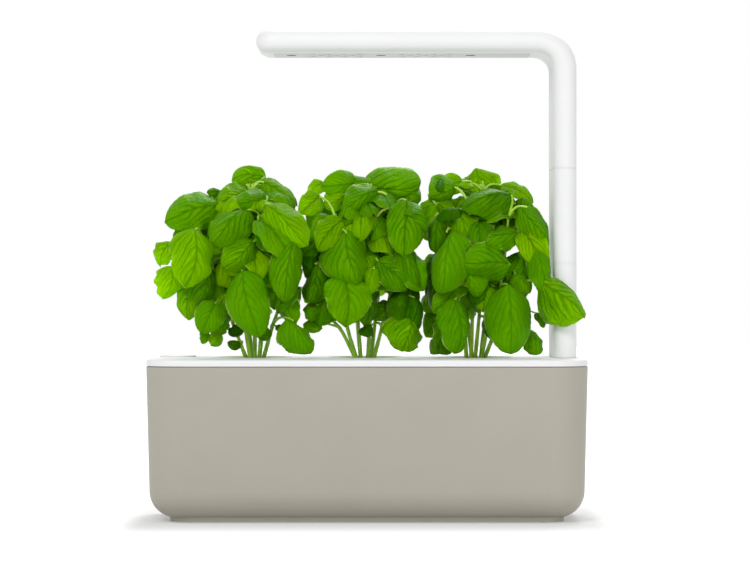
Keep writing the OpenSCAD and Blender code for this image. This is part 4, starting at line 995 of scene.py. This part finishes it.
def lay_floor(stage):
    bpy.ops.mesh.primitive_plane_add(size=FLOOR_SIZE, location=(0, 0, -FLOOR_DROP))
    floor = bpy.context.object
    floor.name = "floor"
    bpy.ops.object.transform_apply()
    material, tree, places = new_material("pale floor")
    lamp, seen = (put(tree, "BsdfDiffuse", {"Color": (grey, grey, grey, 1)})
                  for grey in (FLOOR_GREY, FLOOR_SHADE))
    share = span(tree, off_the_tank(tree, places), *SHADED_REACH, stage.shadow, 0)
    white = put(tree, "Emission", {"Color": (1, 1, 1, 1), "Strength": FLOOR_GLOW})
    shown = put(tree, "MixShader", {0: share, 1: white.outputs[0], 2: seen.outputs[0]})
    both = put(tree, "MixShader", {0: direct_view(tree), 1: lamp.outputs[0], 2: shown.outputs[0]})
    floor.data.materials.append(shown_by(material, both))


def surround(context, stage):
    world = bpy.data.worlds.new("surround")
    world.use_nodes = True
    context.scene.world = world
    tree = world.node_tree
    tree.nodes.clear()
    around, plain = (put(tree, "Background", {"Color": (1, 1, 1, 1), "Strength": strength})
                     for strength in (stage.ambient, 1.0))
    both = put(tree, "MixShader", {0: direct_view(tree), 1: around.outputs[0], 2: plain.outputs[0]})
    put(tree, "OutputWorld", {"Surface": both.outputs[0]})


def hang_light(name, power, size, place):
    bpy.ops.object.light_add(type="AREA", location=place)
    lamp = bpy.context.object
    lamp.name = name
    lamp.data.energy = power
    lamp.data.size = size
    lamp.rotation_euler = (AIM - Vector(place)).to_track_quat("-Z", "Y").to_euler()


# ---- operators: one for each piece or group of like pieces ----


class GARDEN_OT_camera(Operator):
    """Places the camera level, in front of the garden"""

    bl_idname = "garden.camera"
    bl_label = "Camera"

    def execute(self, context):
        bpy.ops.object.camera_add(location=EYE, rotation=(math.pi / 2, 0, 0))
        camera = context.object
        camera.data.lens = LENS
        camera.data.sensor_width = SENSOR
        camera.data.clip_end = 50
        context.scene.camera = camera
        return {"FINISHED"}


class GARDEN_OT_shells(Operator):
    """Finishes the moulded shells, the fittings and the electric pieces"""

    bl_idname = "garden.shells"
    bl_label = "Shells and fittings"

    def execute(self, context):
        shells = context.scene.garden_shells
        grain = shells.grain
        white = shells.white
        black = tint(28, 28, 30)
        finishes = {
            "tank_plastic": moulded("warm grey shell", shells.tank, 0.55, grain, 0.00003),
            "foot_rubber": moulded("foot rubber", tint(60, 60, 60), 0.85, 0.0008, 0.00006),
            "lid_plastic": moulded("white lid shell", white, 0.42, grain, 0.00001, 0.015, 0.35),
            "lamp_plastic": moulded("white lamp shell", white, 0.42, grain, 0.00001, 0.015, 0.35),
            "inner_plastic": moulded("white inner moulding", tint(232, 232, 230), 0.5, grain, 0.00003),
            "cup_plastic": moulded("white cup", tint(238, 238, 236), 0.45, grain, 0.00002),
            "collar_plastic": moulded("collar", tint(232, 230, 222), 0.6, 0.0006, 0.00005),
            # The cover's grey, darker than the lamp's white, is painted shade for the arm's underside; its
            # screw wells get black as painted shade
            "cover_plastic": welled_cover("light cover", tint(206, 206, 205), black, grain),
            "connector_plastic": moulded("black connector", black, 0.45, 0.0004),
            "connector_white": moulded("natural connector", tint(228, 222, 204), 0.5, 0.0004),
            "wire_sheath": moulded("wire sheath", tint(150, 150, 152), 0.5, 0.0006, 0.00004),
            "screw_steel": turned_metal("plated screw", tint(196, 198, 202), 0.34),
            "screw_black": turned_metal("black screw", tint(58, 58, 62), 0.45),
            "contact_metal": turned_metal("plated contact", tint(226, 194, 120), 0.28),
            "spreader_metal": turned_metal("rolled sheet", tint(206, 208, 212), 0.38),
            "circuit_board": board("green board", tint(22, 84, 46), tint(60, 132, 80)),
            "board_white": board("white board", tint(236, 236, 228), tint(206, 206, 198)),
            "white_light": lit_lens("white light", tint(242, 216, 128)),
            "red_light": lit_lens("red light", tint(214, 96, 70)),
        }
        for part in frame["record"]["subparts"]:
            if part["material_slot"] in finishes:
                mesh = frame["nodes"][part["node"]].data
                mesh.materials.clear()
                mesh.materials.append(finishes[part["material_slot"]])
        return {"FINISHED"}


class GARDEN_OT_growing_mix(Operator):
    """Models the growing mix and the wick of each cup"""

    bl_idname = "garden.growing_mix"
    bl_label = "Growing mix and wicks"

    def execute(self, context):
        mix, wool = soil_mix("growing mix"), felt("felt wick", tint(236, 232, 218))
        for plant in range(3):
            fill_cup(plant, mix)
            hang_wick(plant, wool)
        return {"FINISHED"}


class GARDEN_OT_plants(Operator):
    """Grows the stems, stalks and leaves of each basil plant"""

    bl_idname = "garden.plants"
    bl_label = "Basil plants"

    def execute(self, context):
        plants = context.scene.garden_plants
        blade, skin = leaf_blade(plants), stem_skin(plants)
        deselect()
        sheets = [flat_blade(*grid) for grid in GRIDS]
        for plant in range(3):
            draw = random.Random(plants.seed + 31 * plant)
            rows = front_leaves(plant, draw) + rear_leaves(plant, draw)
            grow_leaves(plant, rows, sheets, plants, blade, draw)
            grow_stems(plant, rows, skin)
        for sheet in sheets:
            bpy.data.objects.remove(sheet)
        return {"FINISHED"}


class GARDEN_OT_stage(Operator):
    """Makes the pale floor, the surrounding light and the lamps"""

    bl_idname = "garden.stage"
    bl_label = "Stage"

    def execute(self, context):
        stage = context.scene.garden_stage
        lay_floor(stage)
        surround(context, stage)
        for name, (size, place) in LIGHTS.items():
            hang_light(f"{name} light", getattr(stage, name), size, place)
        context.scene.view_settings.view_transform = "Standard"
        return {"FINISHED"}


class GARDEN_PT_panel(Panel):
    """Steps and sizes of the hydroponic garden"""

    bl_idname = "GARDEN_PT_panel"
    bl_label = "Hydroponic garden"
    bl_space_type = "VIEW_3D"
    bl_region_type = "UI"
    bl_category = "Garden"

    def draw(self, context):
        for group in SETTINGS:
            box = self.layout.box()
            settings = getattr(context.scene, group)
            for name in settings.__annotations__:
                box.prop(settings, name)
        for step in STEPS:
            self.layout.operator(step.bl_idname)


STEPS = (GARDEN_OT_camera, GARDEN_OT_shells, GARDEN_OT_growing_mix, GARDEN_OT_plants, GARDEN_OT_stage)
SETTINGS = {"garden_shells": ShellSettings, "garden_plants": PlantSettings, "garden_stage": StageSettings}
CLASSES = (*SETTINGS.values(), *STEPS, GARDEN_PT_panel)


def register():
    for item in CLASSES:
        bpy.utils.register_class(item)
    for name, group in SETTINGS.items():
        setattr(bpy.types.Scene, name, PointerProperty(type=group))


def unregister():
    for name in SETTINGS:
        delattr(bpy.types.Scene, name)
    for item in reversed(CLASSES):
        bpy.utils.unregister_class(item)


def main():
    """Builds every piece in order."""
    register()
    for step in STEPS:
        getattr(bpy.ops.garden, step.bl_idname.split(".")[1])()


if __name__ == "__main__":
    main()
